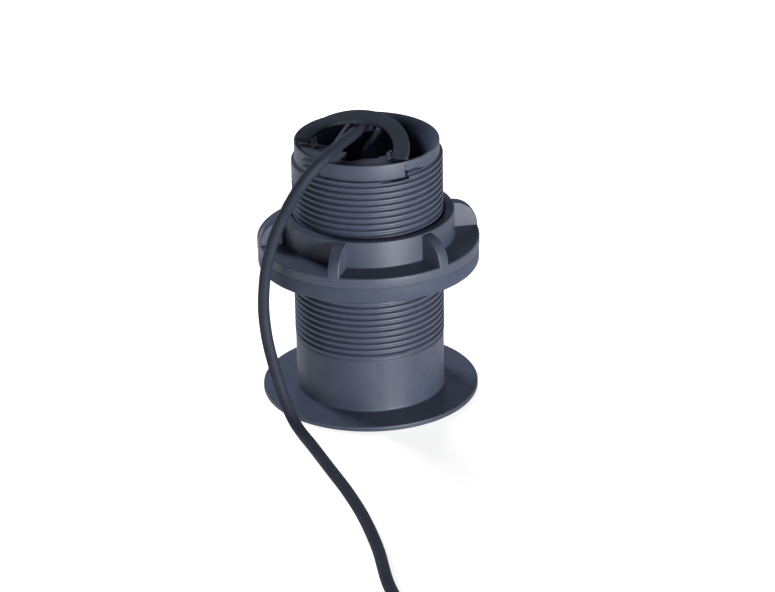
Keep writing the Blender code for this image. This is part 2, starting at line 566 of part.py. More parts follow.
def build_pull_ring(material):
    """The flat part-round ring with rounded heels on its pivot line and a stud inside each foot."""
    outer, inner = PULL_FOOT_OUT, PULL_FOOT_IN
    half = PULL_THICKNESS / 2
    steps, heel_steps = 24, 4
    edit = bmesh.new()
    sections = []
    for index in range(heel_steps):
        angle = math.pi / 2 * index / heel_steps
        out, up = half * math.cos(angle), half * math.sin(angle)
        sections.append([(outer, -out, -up), (outer, -out, up), (inner, -out, up), (inner, -out, -up)])
    corners = ((PULL_OUTER_RADIUS, -half), (PULL_OUTER_RADIUS, half),
               (PULL_INNER_RADIUS, half), (PULL_INNER_RADIUS, -half))
    for index in range(steps + 1):
        sections.append([(*ring_point(radius, index / steps), up) for radius, up in corners])
    for index in reversed(range(heel_steps)):
        sections.append([(-x, y, z) for x, y, z in sections[index]])
    rings = [[edit.verts.new(point) for point in section] for section in sections]
    for first, second in zip(rings, rings[1:]):
        for row in range(4):
            above = (row + 1) % 4
            edit.faces.new((first[row], second[row], second[above], first[above]))
    ring = solid("pull_ring", edit, material)
    for side, label in ((-1, "left"), (1, "right")):
        root = side * (inner + PULL_BAND_WIDTH / 4)
        tip = side * (inner - PULL_STUD_LENGTH)
        stud = rod(f"{label}_stud_tool", (root, 0, 0), (tip, 0, 0), PULL_STUD_DIAMETER / 2,
                   SMALL_SEGMENTS, material)
        stud.matrix_world = pull_frame(PULL_LEAN)
        combine(ring, stud, "UNION")
    pivot = bpy.data.objects.new("pull_ring_pivot", None)
    bpy.context.collection.objects.link(pivot)
    pivot.matrix_world = pull_frame(PULL_LEAN)
    ring.parent = pivot
    return ring


def build_wire(name, side, material):
    """One insulated wire from the ceramic, up the potting's passage and across to the cable."""
    x, y = BOOT_POSITION
    offset = side * WIRE_SPACING / 2
    potting_top = POTTING_LEVEL + POTTING_THICKNESS
    end = HEAD_LEVEL - BOOT_FOOT_THICKNESS - 2 * SEAT_GAP
    middle = (potting_top + end) / 2
    points = [(offset, 0.0, BACKING_LEVEL), (offset, 0.0, potting_top), (offset, y / 8, middle - y / 2),
              (x / 2 + offset, y / 2, middle), (x + offset, y * 7 / 8, middle + y / 2), (x + offset, y, end)]
    return tube(name, points, WIRE_DIAMETER / 2, material)


def smooth_route(points, spacing):
    """Evenly spaced points along the smooth curve through hand-chosen points."""
    knots = [Vector(point) for point in points]
    knots = [knots[0] * 2 - knots[1]] + knots + [knots[-1] * 2 - knots[-2]]
    fine = []
    for before, start, end, after in zip(knots, knots[1:], knots[2:], knots[3:]):
        for index in range(16):
            t = index / 16
            fine.append(0.5 * (2 * start + (end - before) * t
                               + (2 * before - 5 * start + 4 * end - after) * t * t
                               + (3 * start - before - 3 * end + after) * t * t * t))
    fine.append(knots[-2])
    lengths = [0.0]
    for first, second in zip(fine, fine[1:]):
        lengths.append(lengths[-1] + (second - first).length)
    count = max(2, round(lengths[-1] / spacing))
    route, place = [], 0
    for index in range(count + 1):
        target = lengths[-1] * index / count
        while place < len(fine) - 2 and lengths[place + 1] < target:
            place += 1
        share = (target - lengths[place]) / (lengths[place + 1] - lengths[place])
        route.append(fine[place].lerp(fine[place + 1], share))
    return route


def tube(name, points, radius, material):
    """A round tube with closed ends along a line of points."""
    curve = bpy.data.curves.new(name, "CURVE")
    curve.dimensions = "3D"
    curve.bevel_depth = radius
    curve.bevel_resolution = 2
    curve.use_fill_caps = True
    spline = curve.splines.new("POLY")
    spline.points.add(len(points) - 1)
    for target, point in zip(spline.points, points):
        target.co = (*point, 1.0)
    curve.materials.append(material)
    piece = bpy.data.objects.new(name, curve)
    bpy.context.collection.objects.link(piece)
    return piece


def build_boot(material):
    """The rubber boot that holds and seals the cable where it leaves the insert's head."""
    foot_top = HEAD_LEVEL - SEAT_GAP
    foot = foot_top - BOOT_FOOT_THICKNESS
    outline = [(0.0, foot), (BOOT_FOOT_DIAMETER / 2, foot), (BOOT_FOOT_DIAMETER / 2, foot_top),
               (BOOT_RADIUS, foot_top), (BOOT_RADIUS, BOOT_TOP - BOOT_WALL),
               (BOOT_RADIUS - BOOT_WALL / 2, BOOT_TOP), (0.0, BOOT_TOP)]
    return turned("cable_boot", outline, SMALL_SEGMENTS, material, place=(*BOOT_POSITION, 0.0))


def build_lead(material):
    """The cable from the boot, over the mouth's edge and along the floor to the coil."""
    exit_centre = Vector((*BOOT_POSITION, BOOT_TOP))
    route = [exit_centre + Vector(point) * MM for point in LEAD_RISE]
    route += [Vector(point) * MM for point in LEAD_ROUTE]
    return tube("cable_lead", smooth_route(route, TUBE_SPACING), CABLE_DIAMETER / 2, material)


def build_coil(material):
    """The outer form of the wound cable: a ring with rounded corners."""
    inner, outer = COIL_INNER_RADIUS, COIL_OUTER_RADIUS
    low, high, corner = COIL_FLOOR, COIL_TOP, CABLE_DIAMETER / 2 * 0.6
    outline = [(inner + corner, low), (outer - corner, low), (outer, low + corner),
               (outer, high - corner), (outer - corner, high), (inner + corner, high),
               (inner, high - corner), (inner, low + corner)]
    return turned("cable_coil", outline, INSERT_SEGMENTS, material, place=(*COIL_CENTRE, 0.0))


def build_tie(name, azimuth, material):
    """A flat tie round the coil's bundle, with its lock on the outside."""
    thick, gap = TIE_THICKNESS, SEAT_GAP
    inner = (COIL_INNER_RADIUS - gap, COIL_FLOOR - gap, COIL_OUTER_RADIUS + gap, COIL_TOP + gap)
    outer = (inner[0] - thick, inner[1] - thick, inner[2] + thick, inner[3] + thick)
    def loop(edit, box, corner, across):
        low_r, low_z, high_r, high_z = box
        points = [(low_r + corner, low_z), (high_r - corner, low_z), (high_r, low_z + corner),
                  (high_r, high_z - corner), (high_r - corner, high_z), (low_r + corner, high_z),
                  (low_r, high_z - corner), (low_r, low_z + corner)]
        return [edit.verts.new((across, -radius, height)) for radius, height in points]
    edit = bmesh.new()
    corner = CABLE_DIAMETER / 2 * 0.6
    left, right = -TIE_WIDTH / 2, TIE_WIDTH / 2
    rings = [loop(edit, inner, corner, left), loop(edit, outer, corner, left),
             loop(edit, outer, corner, right), loop(edit, inner, corner, right)]
    for first, second in zip(rings, rings[1:] + rings[:1]):
        for row in range(8):
            above = (row + 1) % 8
            edit.faces.new((first[row], second[row], second[above], first[above]))
    tie = solid(name, edit, material)
    tie.location = (*COIL_CENTRE, 0.0)
    tie.rotation_euler.z = math.radians(azimuth)
    return tie


def lay_down(piece):
    """Lay a plug piece, turned about Z with its open end at the top, along -X on the coil."""
    piece.matrix_world = (Matrix.Translation((PLUG_BACK_X, COIL_CENTRE[1] - PLUG_OFFSET, PLUG_LEVEL))
                          @ Matrix.Rotation(math.radians(-90.0), 4, "Y"))
    return piece


def build_plug(material):
    """The plug's moulded body: a shoulder at the cable's end and a deep open mouth."""
    rim, edge = PLUG_DIAMETER / 2, PLUG_WALL / 3
    waist = rim - PLUG_WALL / 2
    floor = PLUG_LENGTH - PLUG_RECESS_DEPTH
    outline = [(0.0, 0.0), (waist - edge, 0.0), (waist, edge), (waist, PLUG_SHOULDER_LENGTH),
               (rim, PLUG_SHOULDER_LENGTH + edge), (rim, PLUG_LENGTH - edge), (rim - edge, PLUG_LENGTH),
               (rim - PLUG_WALL, PLUG_LENGTH), (rim - PLUG_WALL, floor), (0.0, floor)]
    return lay_down(turned("plug_body", outline, 24, material))


def build_carrier(material):
    """The insulating block on the plug's floor that holds the contacts."""
    low = PLUG_LENGTH - PLUG_RECESS_DEPTH + SEAT_GAP
    radius = PLUG_DIAMETER / 2 - PLUG_WALL - PLUG_SEAL_SECTION - 2 * SEAT_GAP
    high = low + PLUG_RECESS_DEPTH / 3
    return lay_down(turned("plug_carrier", [(0.0, low), (radius, low), (radius, high), (0.0, high)],
                           24, material))


def build_contact(index, material):
    """One contact pin, standing on the carrier."""
    low = PLUG_LENGTH - PLUG_RECESS_DEPTH * 2 / 3 + 2 * SEAT_GAP
    x, y = polar(CONTACT_CIRCLE / 2, 360.0 / CONTACT_COUNT * (index + 0.5))
    name = f"contact_pin_{index + 1}"
    return lay_down(rod(name, (x, y, low), (x, y, low + CONTACT_LENGTH), CONTACT_DIAMETER / 2, 8, material))


def build_plug_seal(material):
    """The small ring that seals the plug's mouth, round the carrier."""
    half = PLUG_SEAL_SECTION / 2
    radius = PLUG_DIAMETER / 2 - PLUG_WALL - SEAT_GAP - half
    level = PLUG_LENGTH - PLUG_RECESS_DEPTH + SEAT_GAP + half
    section = [(radius + half * math.cos(math.pi / 3 * side), level + half * math.sin(math.pi / 3 * side))
               for side in range(6)]
    return lay_down(turned("plug_seal", section, 24, material))


def build_plug_boot(material):
    """The tapered strain relief between the plug and the cable."""
    wide, narrow = PLUG_BOOT_DIAMETER / 2, CABLE_DIAMETER / 2 + 2 * BOOT_WALL
    base, tip = -SEAT_GAP, -SEAT_GAP - PLUG_BOOT_LENGTH
    outline = [(0.0, base), (wide, base), (wide, base - PLUG_BOOT_LENGTH / 7), (narrow, tip), (0.0, tip)]
    return lay_down(turned("plug_boot", outline, SMALL_SEGMENTS, material))


def build_tail(material):
    """The cable's last stretch, from the top of the coil to the plug's strain relief."""
    route = [Vector(point) * MM for point in TAIL_ROUTE]
    route[-1] = Vector((PLUG_BACK_X + PLUG_BOOT_LENGTH + 2 * SEAT_GAP,
                        COIL_CENTRE[1] - PLUG_OFFSET, PLUG_LEVEL))
    return tube("cable_tail", smooth_route(route, TUBE_SPACING), CABLE_DIAMETER / 2, material)


def build():
    """Build every piece of the transducer."""
    for item in list(bpy.data.objects):
        bpy.data.objects.remove(item, do_unlink=True)
    moulding = finish("housing plastic", (0.075, 0.090, 0.125), 0.45)
    nut_plastic = finish("nut plastic", (0.065, 0.080, 0.110), 0.45)
    rubber = finish("washer rubber", (0.045, 0.055, 0.075), 0.70)
    seal_rubber = finish("seal rubber", (0.015, 0.015, 0.016), 0.60)
    face = finish("window resin", (0.060, 0.065, 0.075), 0.35)
    ceramic = finish("silvered ceramic", (0.70, 0.69, 0.66), 0.35, 0.6)
    cork = finish("cork", (0.42, 0.26, 0.13), 0.90)
    foam = finish("backing foam", (0.10, 0.10, 0.11), 0.95)
    resin = finish("potting resin", (0.02, 0.02, 0.022), 0.30)
    jacket = finish("cable jacket", (0.022, 0.026, 0.036), 0.40)
    red = finish("red wire", (0.50, 0.03, 0.02), 0.45)
    black = finish("black wire", (0.015, 0.015, 0.015), 0.45)
    tie_plastic = finish("tie plastic", (0.018, 0.018, 0.020), 0.50)
    brass = finish("contact brass", (0.80, 0.62, 0.28), 0.25, 1.0)

    build_housing(moulding)
    build_nut(nut_plastic)
    build_washer(rubber)
    build_shell(moulding)
    build_o_ring("o_ring_lower", LOWER_O_RING_LEVEL, seal_rubber)
    build_o_ring("o_ring_upper", UPPER_O_RING_LEVEL, seal_rubber)
    disc("acoustic_window", 0.0, FILL_RADIUS, SHELL_RECESS, SHELL_RECESS + WINDOW_THICKNESS, face)
    disc("piezo_disc", 0.0, PIEZO_DIAMETER / 2, PIEZO_LEVEL, PIEZO_LEVEL + PIEZO_THICKNESS, ceramic)
    disc("cork_liner", PIEZO_DIAMETER / 2 + SEAT_GAP, FILL_RADIUS, PIEZO_LEVEL,
         PIEZO_LEVEL + PIEZO_THICKNESS, cork)
    disc("backing_pad", WIRE_PASSAGE_DIAMETER / 2, FILL_RADIUS, BACKING_LEVEL,
         BACKING_LEVEL + BACKING_THICKNESS, foam)
    disc("potting_fill", WIRE_PASSAGE_DIAMETER / 2, FILL_RADIUS, POTTING_LEVEL,
         POTTING_LEVEL + POTTING_THICKNESS, resin)
    disc("head_gasket", SHELL_BORE_RADIUS, SHELL_RADIUS - SEAT_GAP, SHELL_TOP_LEVEL + SEAT_GAP,
         SHELL_TOP_LEVEL + SEAT_GAP + GASKET_THICKNESS, seal_rubber)
    build_head(moulding)
    build_pull_ring(nut_plastic)
    build_wire("lead_wire_a", -1, red)
    build_wire("lead_wire_b", 1, black)
    build_boot(seal_rubber)
    build_lead(jacket)
    build_coil(jacket)
    build_tail(jacket)
    build_tie("cable_tie_a", TIE_AZIMUTHS[0], tie_plastic)
    build_tie("cable_tie_b", TIE_AZIMUTHS[1], tie_plastic)
    build_plug(jacket)
    build_plug_boot(seal_rubber)
    build_carrier(tie_plastic)
    for index in range(CONTACT_COUNT):
        build_contact(index, brass)
    build_plug_seal(seal_rubber)


build()
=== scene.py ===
"""Looks of a thru-hull sonar transducer: its finishes, fine forms and full-length cable.

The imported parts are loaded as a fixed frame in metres, with +Z up the stem and the flange's lower
face on the floor. Azimuths are in degrees, 0 toward the viewer (-Y) and positive toward +X.
"""

import logging
import math
from dataclasses import dataclass
from enum import Enum
from typing import Callable, Iterable, Optional, Sequence, Union

import bmesh
import bpy
from bmesh.types import BMesh
from bpy.types import Material, Mesh, Node, NodeOutputs, NodeSocket, NodeTree, Object
from mathutils import Matrix, Vector

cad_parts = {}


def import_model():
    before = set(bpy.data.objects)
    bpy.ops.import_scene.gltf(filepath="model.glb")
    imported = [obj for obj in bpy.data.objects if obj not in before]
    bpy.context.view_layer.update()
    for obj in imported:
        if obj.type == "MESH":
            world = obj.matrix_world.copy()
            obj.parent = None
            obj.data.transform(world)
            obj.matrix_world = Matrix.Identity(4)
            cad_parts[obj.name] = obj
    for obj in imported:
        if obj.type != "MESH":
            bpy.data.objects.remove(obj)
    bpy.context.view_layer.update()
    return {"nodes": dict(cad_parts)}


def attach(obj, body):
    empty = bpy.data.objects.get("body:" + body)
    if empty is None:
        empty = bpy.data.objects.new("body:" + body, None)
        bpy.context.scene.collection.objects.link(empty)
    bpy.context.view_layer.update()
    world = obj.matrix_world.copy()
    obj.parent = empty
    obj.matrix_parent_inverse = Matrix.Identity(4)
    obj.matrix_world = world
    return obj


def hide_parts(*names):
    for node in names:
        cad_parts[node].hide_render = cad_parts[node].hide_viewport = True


log = logging.getLogger("transducer")

MM = 0.001
TINY = 1e-9
MERGE_DISTANCE = 1e-7
QUARTER_TURN = math.pi / 2
# The colour sockets of a Mix node, which share their names with its other sockets
MIX_FIRST, MIX_SECOND, MIX_RESULT = 6, 7, 2

Point = tuple[float, float]
Triple = tuple[float, float, float]
Value = Union[NodeSocket, float, Triple]
Inputs = dict[Union[str, int], Value]


class Body(Enum):
    """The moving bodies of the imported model."""

    STEM = "stem"
    WASHER = "washer"
    NUT = "nut"
    RING = "ring"


class Texture(Enum):
    """Whether a finish has fine grain alone, or pores too."""

    GRAINED = "grained"
    POROUS = "porous"


@dataclass(frozen=True)
class Finish:
    """One surface finish of the transducer."""

    name: str
    slot: str
    colour: Triple
    roughness: float
    texture: Texture = Texture.GRAINED
    metallic: float = 0.0
    grain_size: float = 0.5 * MM
    grain_depth: float = 0.010 * MM
    shade: float = 0.10
    wear: float = 0.35
    wear_tint: Triple = (0.16, 0.175, 0.20)
    specular: float = 0.5


BLUE_GREY = (0.064, 0.081, 0.130)
HOUSING_PLASTIC = Finish("housing moulding", "housing_plastic", BLUE_GREY, 0.50, specular=0.9)
NUT_PLASTIC = Finish("nut moulding", "nut_plastic", BLUE_GREY, 0.50, specular=0.9)
RING_PLASTIC = Finish("pull ring moulding", "nut_plastic", (0.042, 0.054, 0.075), 0.55,
                      specular=0.4)
HEAD_PLASTIC = Finish("insert moulding", "housing_plastic", (0.062, 0.077, 0.107), 0.55,
                      specular=0.4)
WASHER_RUBBER = Finish("washer rubber", "washer_rubber", BLUE_GREY, 0.60, grain_depth=0.02 * MM,
                       wear=0.2)
SEAL_RUBBER = Finish("seal rubber", "seal_rubber", (0.014, 0.014, 0.015), 0.60, wear=0.15,
                     wear_tint=(0.05, 0.05, 0.05))
WINDOW_RESIN = Finish("window resin", "window_resin", (0.055, 0.060, 0.068), 0.32)
CERAMIC = Finish("silvered ceramic", "silvered_ceramic", (0.70, 0.69, 0.66), 0.33, metallic=0.6)
CORK = Finish("pressed cork", "cork", (0.42, 0.26, 0.13), 0.90, Texture.POROUS,
              grain_size=1.2 * MM, grain_depth=0.10 * MM, shade=0.45, wear=0.0)
FOAM = Finish("backing foam", "backing_foam", (0.10, 0.10, 0.11), 0.95, Texture.POROUS,
              grain_depth=0.08 * MM, wear=0.0)
POTTING = Finish("potting resin", "potting_resin", (0.018, 0.018, 0.020), 0.25)
JACKET = Finish("cable jacket", "cable_jacket", (0.035, 0.044, 0.068), 0.60, specular=0.25,
                grain_size=0.35 * MM, grain_depth=0.006 * MM, wear=0.0)
RED_WIRE = Finish("red insulation", "red_insulation", (0.50, 0.03, 0.02), 0.40)
BLACK_WIRE = Finish("black insulation", "black_insulation", (0.015, 0.015, 0.015), 0.40)
TIE_PLASTIC = Finish("tie nylon", "tie_plastic", (0.016, 0.016, 0.018), 0.48, wear=0.15,
                     wear_tint=(0.06, 0.06, 0.065))
CONTACT_METAL = Finish("contact metal", "contact_brass", (0.80, 0.62, 0.28), 0.24, metallic=1.0)


class Graph:
    """A shader node tree, with short ways to fill it."""

    def __init__(self, tree: NodeTree) -> None:
        """Wrap a tree."""
        self.tree = tree

    def node(self, kind: str, inputs: Optional[Inputs] = None, **settings: object) -> Node:
        """Add a node.

        Args:
            kind: Its type.
            inputs: Socket, number or colour of each input, by name or number.
            **settings: Value of each property.

        Returns:
            The node.
        """
        node = self.tree.nodes.new(kind)
        for name, value in settings.items():
            setattr(node, name, value)
        self.feed(node, inputs or {})
        return node

    def feed(self, node: Node, inputs: Inputs) -> None:
        """Link or set a node's inputs.

        Args:
            node: The node.
            inputs: Socket, number or colour of each input, by name or number.
        """
        for key, value in inputs.items():
            if isinstance(value, NodeSocket):
                self.tree.links.new(value, node.inputs[key])
            elif isinstance(value, tuple):
                node.inputs[key].default_value = (*value, 1.0)
            else:
                node.inputs[key].default_value = value

    def maths(self, operation: str, *values: Value, clamp: bool = False) -> NodeSocket:
        """Calculate with sockets or numbers, and keep the result in 0 to 1 if clamped."""
        return self.node("ShaderNodeMath", dict(enumerate(values)), operation=operation,
                         use_clamp=clamp).outputs[0]

    def noise(self, cells: Value, detail: float, roughness: float) -> NodeSocket:
        """Return a noise over the object's own coordinates, with so many cells in a metre."""
        return self.node("ShaderNodeTexNoise", {"Vector": self.place(), "Scale": cells,
                                                "Detail": detail, "Roughness": roughness}
                         ).outputs["Fac"]

    def place(self) -> NodeSocket:
        """Return the object's own coordinates."""
        return self.node("ShaderNodeTexCoord").outputs["Object"]

    def mix(self, factor: NodeSocket, first: Value, second: Value) -> NodeSocket:
        """Return a blend of two colours, the first at 0 and the second at 1."""
        return self.node("ShaderNodeMix", {"Factor": factor, MIX_FIRST: first,
                                           MIX_SECOND: second}, data_type="RGBA"
                         ).outputs[MIX_RESULT]

    def group(self, effect: NodeTree, **values: float) -> NodeOutputs:
        """Place a shared effect with a value for each named input, and return its outputs."""
        return self.node("ShaderNodeGroup", values, node_tree=effect).outputs


@dataclass
class EffectGroups:
    """The shader node groups that the finishes share, each built once."""

    bevel_samples: int = 4
    edge_width: float = 0.3 * MM
    edge_gain: float = 5.0
    patch_gain: float = 1.6
    patch_shift: float = -0.35
    coarse_cells: float = 0.13
    coarse_height: float = 0.9
    noise_middle: float = 0.5
    dust_falloff: float = 2.0

    def __post_init__(self) -> None:
        """Build every group."""
        self.wear = self._build_wear()
        self.grain = self._build_grain()
        self.smudge = self._build_smudge()
        self.dust = self._build_dust()

    @staticmethod
    def _start(name: str, inputs: dict[str, float], *outputs: str
               ) -> tuple[Graph, NodeOutputs, Node]:
        """Make an empty group.

        Args:
            name: Name of the group.
            inputs: Default of each number that goes in, by name.
            *outputs: Name of each number that comes out.

        Returns:
            The group's graph, what goes in, and its output node.
        """
        tree = bpy.data.node_groups.new(name, "ShaderNodeTree")
        for label, default in inputs.items():
            socket = tree.interface.new_socket(label, in_out="INPUT",
                                               socket_type="NodeSocketFloat")
            socket.default_value = default
        for label in outputs:
            tree.interface.new_socket(label, in_out="OUTPUT", socket_type="NodeSocketFloat")
        graph = Graph(tree)
        return graph, graph.node("NodeGroupInput").outputs, graph.node("NodeGroupOutput")

    def _build_wear(self) -> NodeTree:
        """Rubbed edges: a mask where the surface turns sharply, broken up by noise."""
        graph, given, result = self._start("Edge wear", {"Amount": 0.5, "Width": self.edge_width},
                                           "Mask")
        soft = graph.node("ShaderNodeBevel", {"Radius": given["Width"]},
                          samples=self.bevel_samples).outputs["Normal"]
        true = graph.node("ShaderNodeNewGeometry").outputs["Normal"]
        likeness = graph.node("ShaderNodeVectorMath", {0: soft, 1: true}, operation="DOT_PRODUCT")
        turn = graph.maths("SUBTRACT", 1.0, likeness.outputs["Value"])
        sharp = graph.maths("MULTIPLY", turn, self.edge_gain, clamp=True)
        patch = graph.noise(cells=260.0, detail=3.0, roughness=0.6)
        worn = graph.maths("MULTIPLY_ADD", patch, self.patch_gain, self.patch_shift, clamp=True)
        both = graph.maths("MULTIPLY", sharp, worn)
        graph.feed(result, {"Mask": graph.maths("MULTIPLY", both, given["Amount"], clamp=True)})
        return graph.tree

    def _build_grain(self) -> NodeTree:
        """Fine moulded grain: a height and a mottling value."""
        graph, given, result = self._start("Moulded grain", {"Cells": 2000.0}, "Height", "Mottle")
        fine = graph.noise(given["Cells"], detail=2.0, roughness=0.5)
        cells = graph.maths("MULTIPLY", given["Cells"], self.coarse_cells)
        coarse = graph.noise(cells, detail=3.0, roughness=0.55)
        height = graph.maths("MULTIPLY_ADD", coarse, self.coarse_height, fine)
        graph.feed(result, {"Height": height, "Mottle": coarse})
        return graph.tree

    def _build_smudge(self) -> NodeTree:
        """Broad handling marks: a slow value that shifts the sheen."""
        graph, given, result = self._start("Handling marks", {"Amount": 0.1}, "Shift")
        broad = graph.noise(cells=38.0, detail=4.0, roughness=0.6)
        centred = graph.maths("SUBTRACT", broad, self.noise_middle)
        graph.feed(result, {"Shift": graph.maths("MULTIPLY", centred, given["Amount"])})
        return graph.tree

    def _build_dust(self) -> NodeTree:
        """Dust that settles on what faces up, in patches."""
        graph, given, result = self._start("Settled dust", {"Amount": 0.1}, "Mask")
        normal = graph.node("ShaderNodeNewGeometry").outputs["Normal"]
        parts = graph.node("ShaderNodeSeparateXYZ", {"Vector": normal})
        upward = graph.maths("MAXIMUM", parts.outputs["Z"], 0.0)
        patch = graph.noise(cells=700.0, detail=3.0, roughness=0.65)
        held = graph.maths("MULTIPLY", graph.maths("POWER", upward, self.dust_falloff), patch)
        graph.feed(result, {"Mask": graph.maths("MULTIPLY", held, given["Amount"], clamp=True)})
        return graph.tree


@dataclass
class FinishMaker:
    """Makes and hands out the material of each finish."""

    marks: float = 0.30
    dust: float = 0.08
    dust_tint: Triple = (0.30, 0.31, 0.32)
    dust_roughness: float = 0.6
    soft_spread: Point = (0.25, 0.75)
    hard_spread: Point = (0.42, 0.58)

    def __post_init__(self) -> None:
        """Build the shared effects and start with no materials."""
        self.effects = EffectGroups()
        self.made: dict[str, Material] = {}

    def material(self, finish: Finish) -> Material:
        """Return the material of a finish, made on first use."""
        if finish.name not in self.made:
            self.made[finish.name] = self._make(finish)
        return self.made[finish.name]

    def _make(self, finish: Finish) -> Material:
        """Build a finish's nodes.

        Args:
            finish: The finish. A porous one gets harder mottling, and pores in its relief.

        Returns:
            The material.
        """
        material = bpy.data.materials.new(finish.name)
        material.use_nodes = True
        graph, effects = Graph(material.node_tree), self.effects
        porous, cells = finish.texture is Texture.POROUS, 1.0 / finish.grain_size
        grain = graph.group(effects.grain, Cells=cells)
        marks = graph.group(effects.smudge, Amount=self.marks)["Shift"]
        dust = graph.group(effects.dust, Amount=self.dust)["Mask"]

        low, high = self.hard_spread if porous else self.soft_spread
        mottle = graph.node("ShaderNodeMapRange", {"Value": grain["Mottle"], "From Min": low,
                                                   "From Max": high}).outputs["Result"]
        light = tuple(min(1.0, c * (1.0 + finish.shade)) for c in finish.colour)
        dark = tuple(c * (1.0 - finish.shade) for c in finish.colour)
        colour = graph.mix(mottle, dark, light)
        if finish.wear > 0.0:
            worn = graph.group(effects.wear, Amount=finish.wear)["Mask"]
            colour = graph.mix(worn, colour, finish.wear_tint)
        colour = graph.mix(dust, colour, self.dust_tint)

        rough = graph.maths("ADD", marks, finish.roughness, clamp=True)
        rough = graph.maths("MULTIPLY_ADD", dust, self.dust_roughness, rough, clamp=True)

        height = grain["Height"]
        if porous:
            pores = graph.node("ShaderNodeTexVoronoi", {"Scale": cells, "Vector": graph.place()})
            height = graph.maths("ADD", height, pores.outputs["Distance"])
        bump = graph.node("ShaderNodeBump", {"Strength": 1.0, "Distance": finish.grain_depth,
                                             "Height": height})
        graph.feed(graph.tree.nodes["Principled BSDF"], {
            "Metallic": finish.metallic, "Specular IOR Level": finish.specular,
            "Base Color": colour, "Roughness": rough, "Normal": bump.outputs["Normal"]})
        return material


def polar(radius: float, azimuth: float) -> Point:
    """Return the plan position at a radius and azimuth."""
    angle = math.radians(azimuth)
    return radius * math.sin(angle), -radius * math.cos(angle)


def clamped(value: float) -> float:
    """Return a value kept between 0 and 1."""
    return min(1.0, max(0.0, value))


def smooth_step(value: float) -> float:
    """Ease a value from 0 to 1."""
    value = clamped(value)
    return value * value * (3.0 - 2.0 * value)


def between(start: float, end: float, share: float) -> float:
    """Return the value at a share of the way from start to end."""
    return start + (end - start) * share


def evenly(start: float, end: float, steps: int) -> list[float]:
    """Return evenly spaced values, both ends included."""
    return [start + (end - start) * index / steps for index in range(steps + 1)]


def quarter(steps: int) -> list[float]:
    """Return evenly spaced angles over a quarter turn, both ends included."""
    return evenly(0.0, QUARTER_TURN, steps)


def corner_arc(x: float, y: float, across: float, up: float, steps: int) -> list[Point]:
    """Return the quarter round of the corner (x, y), from (x + across, y) to (x, y + up)."""
    return [(x + across * (1 - math.sin(a)), y + up * (1 - math.cos(a))) for a in quarter(steps)]


def rounded(outline: Sequence[Triple], steps: int = 4) -> list[Point]:
    """Round the corners of a closed outline.

    Args:
        outline: Corners as (radius or x, height or y, corner radius).
        steps: Segments in each rounded corner.

    Returns:
        The outline's points.
    """
    points: list[Point] = []
    for index, (x, y, size) in enumerate(outline):
        corner = Vector((x, y))
        before = Vector(outline[index - 1][:2]) - corner
        after = Vector(outline[(index + 1) % len(outline)][:2]) - corner
        if size <= 0.0 or before.length < TINY or after.length < TINY:
            points.append((x, y))
            continue
        first, second = before.normalized(), after.normalized()
        half = first.angle(second) / 2
        reach = min(size / math.tan(half), before.length / 2, after.length / 2)
        radius = reach * math.tan(half)
        centre = corner + (first + second).normalized() * (radius / math.sin(half))
        start, end = corner + first * reach - centre, corner + second * reach - centre
        for turn in evenly(0.0, -start.angle_signed(end), steps):
            cosine, sine = math.cos(turn), math.sin(turn)
            points.append((centre.x + start.x * cosine - start.y * sine,
                           centre.y + start.x * sine + start.y * cosine))
    return points


def loft(sections: Iterable[Iterable[Sequence[float]]], capped: bool = True) -> BMesh:
    """Join closed sections into a skin.

    Args:
        sections: Sections with the same number of points.
        capped: Whether the first and the last section are closed by a face.

    Returns:
        The mesh.
    """
    edit = bmesh.new()
    rings = [[edit.verts.new(point) for point in section] for section in sections]
    for first, second in zip(rings, rings[1:]):
        for row in range(len(first)):
            above = (row + 1) % len(first)
            edit.faces.new((first[row], second[row], second[above], first[above]))
    if capped:
        edit.faces.new(rings[0])
        edit.faces.new(rings[-1])
    return edit


def sweep(azimuths: Iterable[float], outline: Callable[[float], Iterable[Point]],
          capped: bool = True) -> BMesh:
    """Sweep the (radius, height) outline that each azimuth has round the axis."""
    return loft([[(*polar(radius, azimuth), height) for radius, height in outline(azimuth)]
                 for azimuth in azimuths], capped)


def slab(corners: Iterable[Sequence[float]], thickness: Vector) -> BMesh:
    """Give a flat face a thickness.

    Args:
        corners: The face's corners.
        thickness: How far it is raised, and which way.

    Returns:
        The mesh.
    """
    edit = bmesh.new()
    face = edit.faces.new([edit.verts.new(corner) for corner in corners])
    raised = bmesh.ops.extrude_face_region(edit, geom=[face])
    moved = [item for item in raised["geom"] if isinstance(item, bmesh.types.BMVert)]
    bmesh.ops.translate(edit, verts=moved, vec=thickness)
    return edit


def new_mesh(name: str, edit: BMesh) -> Mesh:
    """Turn an edit mesh into a mesh, and free it."""
    mesh = bpy.data.meshes.new(name)
    edit.to_mesh(mesh)
    edit.free()
    return mesh


def new_object(name: str, data: bpy.types.ID) -> Object:
    """Put an object with this data in the scene."""
    added = bpy.data.objects.new(name, data)
    bpy.context.scene.collection.objects.link(added)
    return added


@dataclass(frozen=True)
class Tag:
    """A piece's name, its finish, the body it moves with and the CAD nodes that it replaces."""

    name: str
    finish: Finish
    body: Body = Body.STEM
    stands_for: Sequence[str] = ()


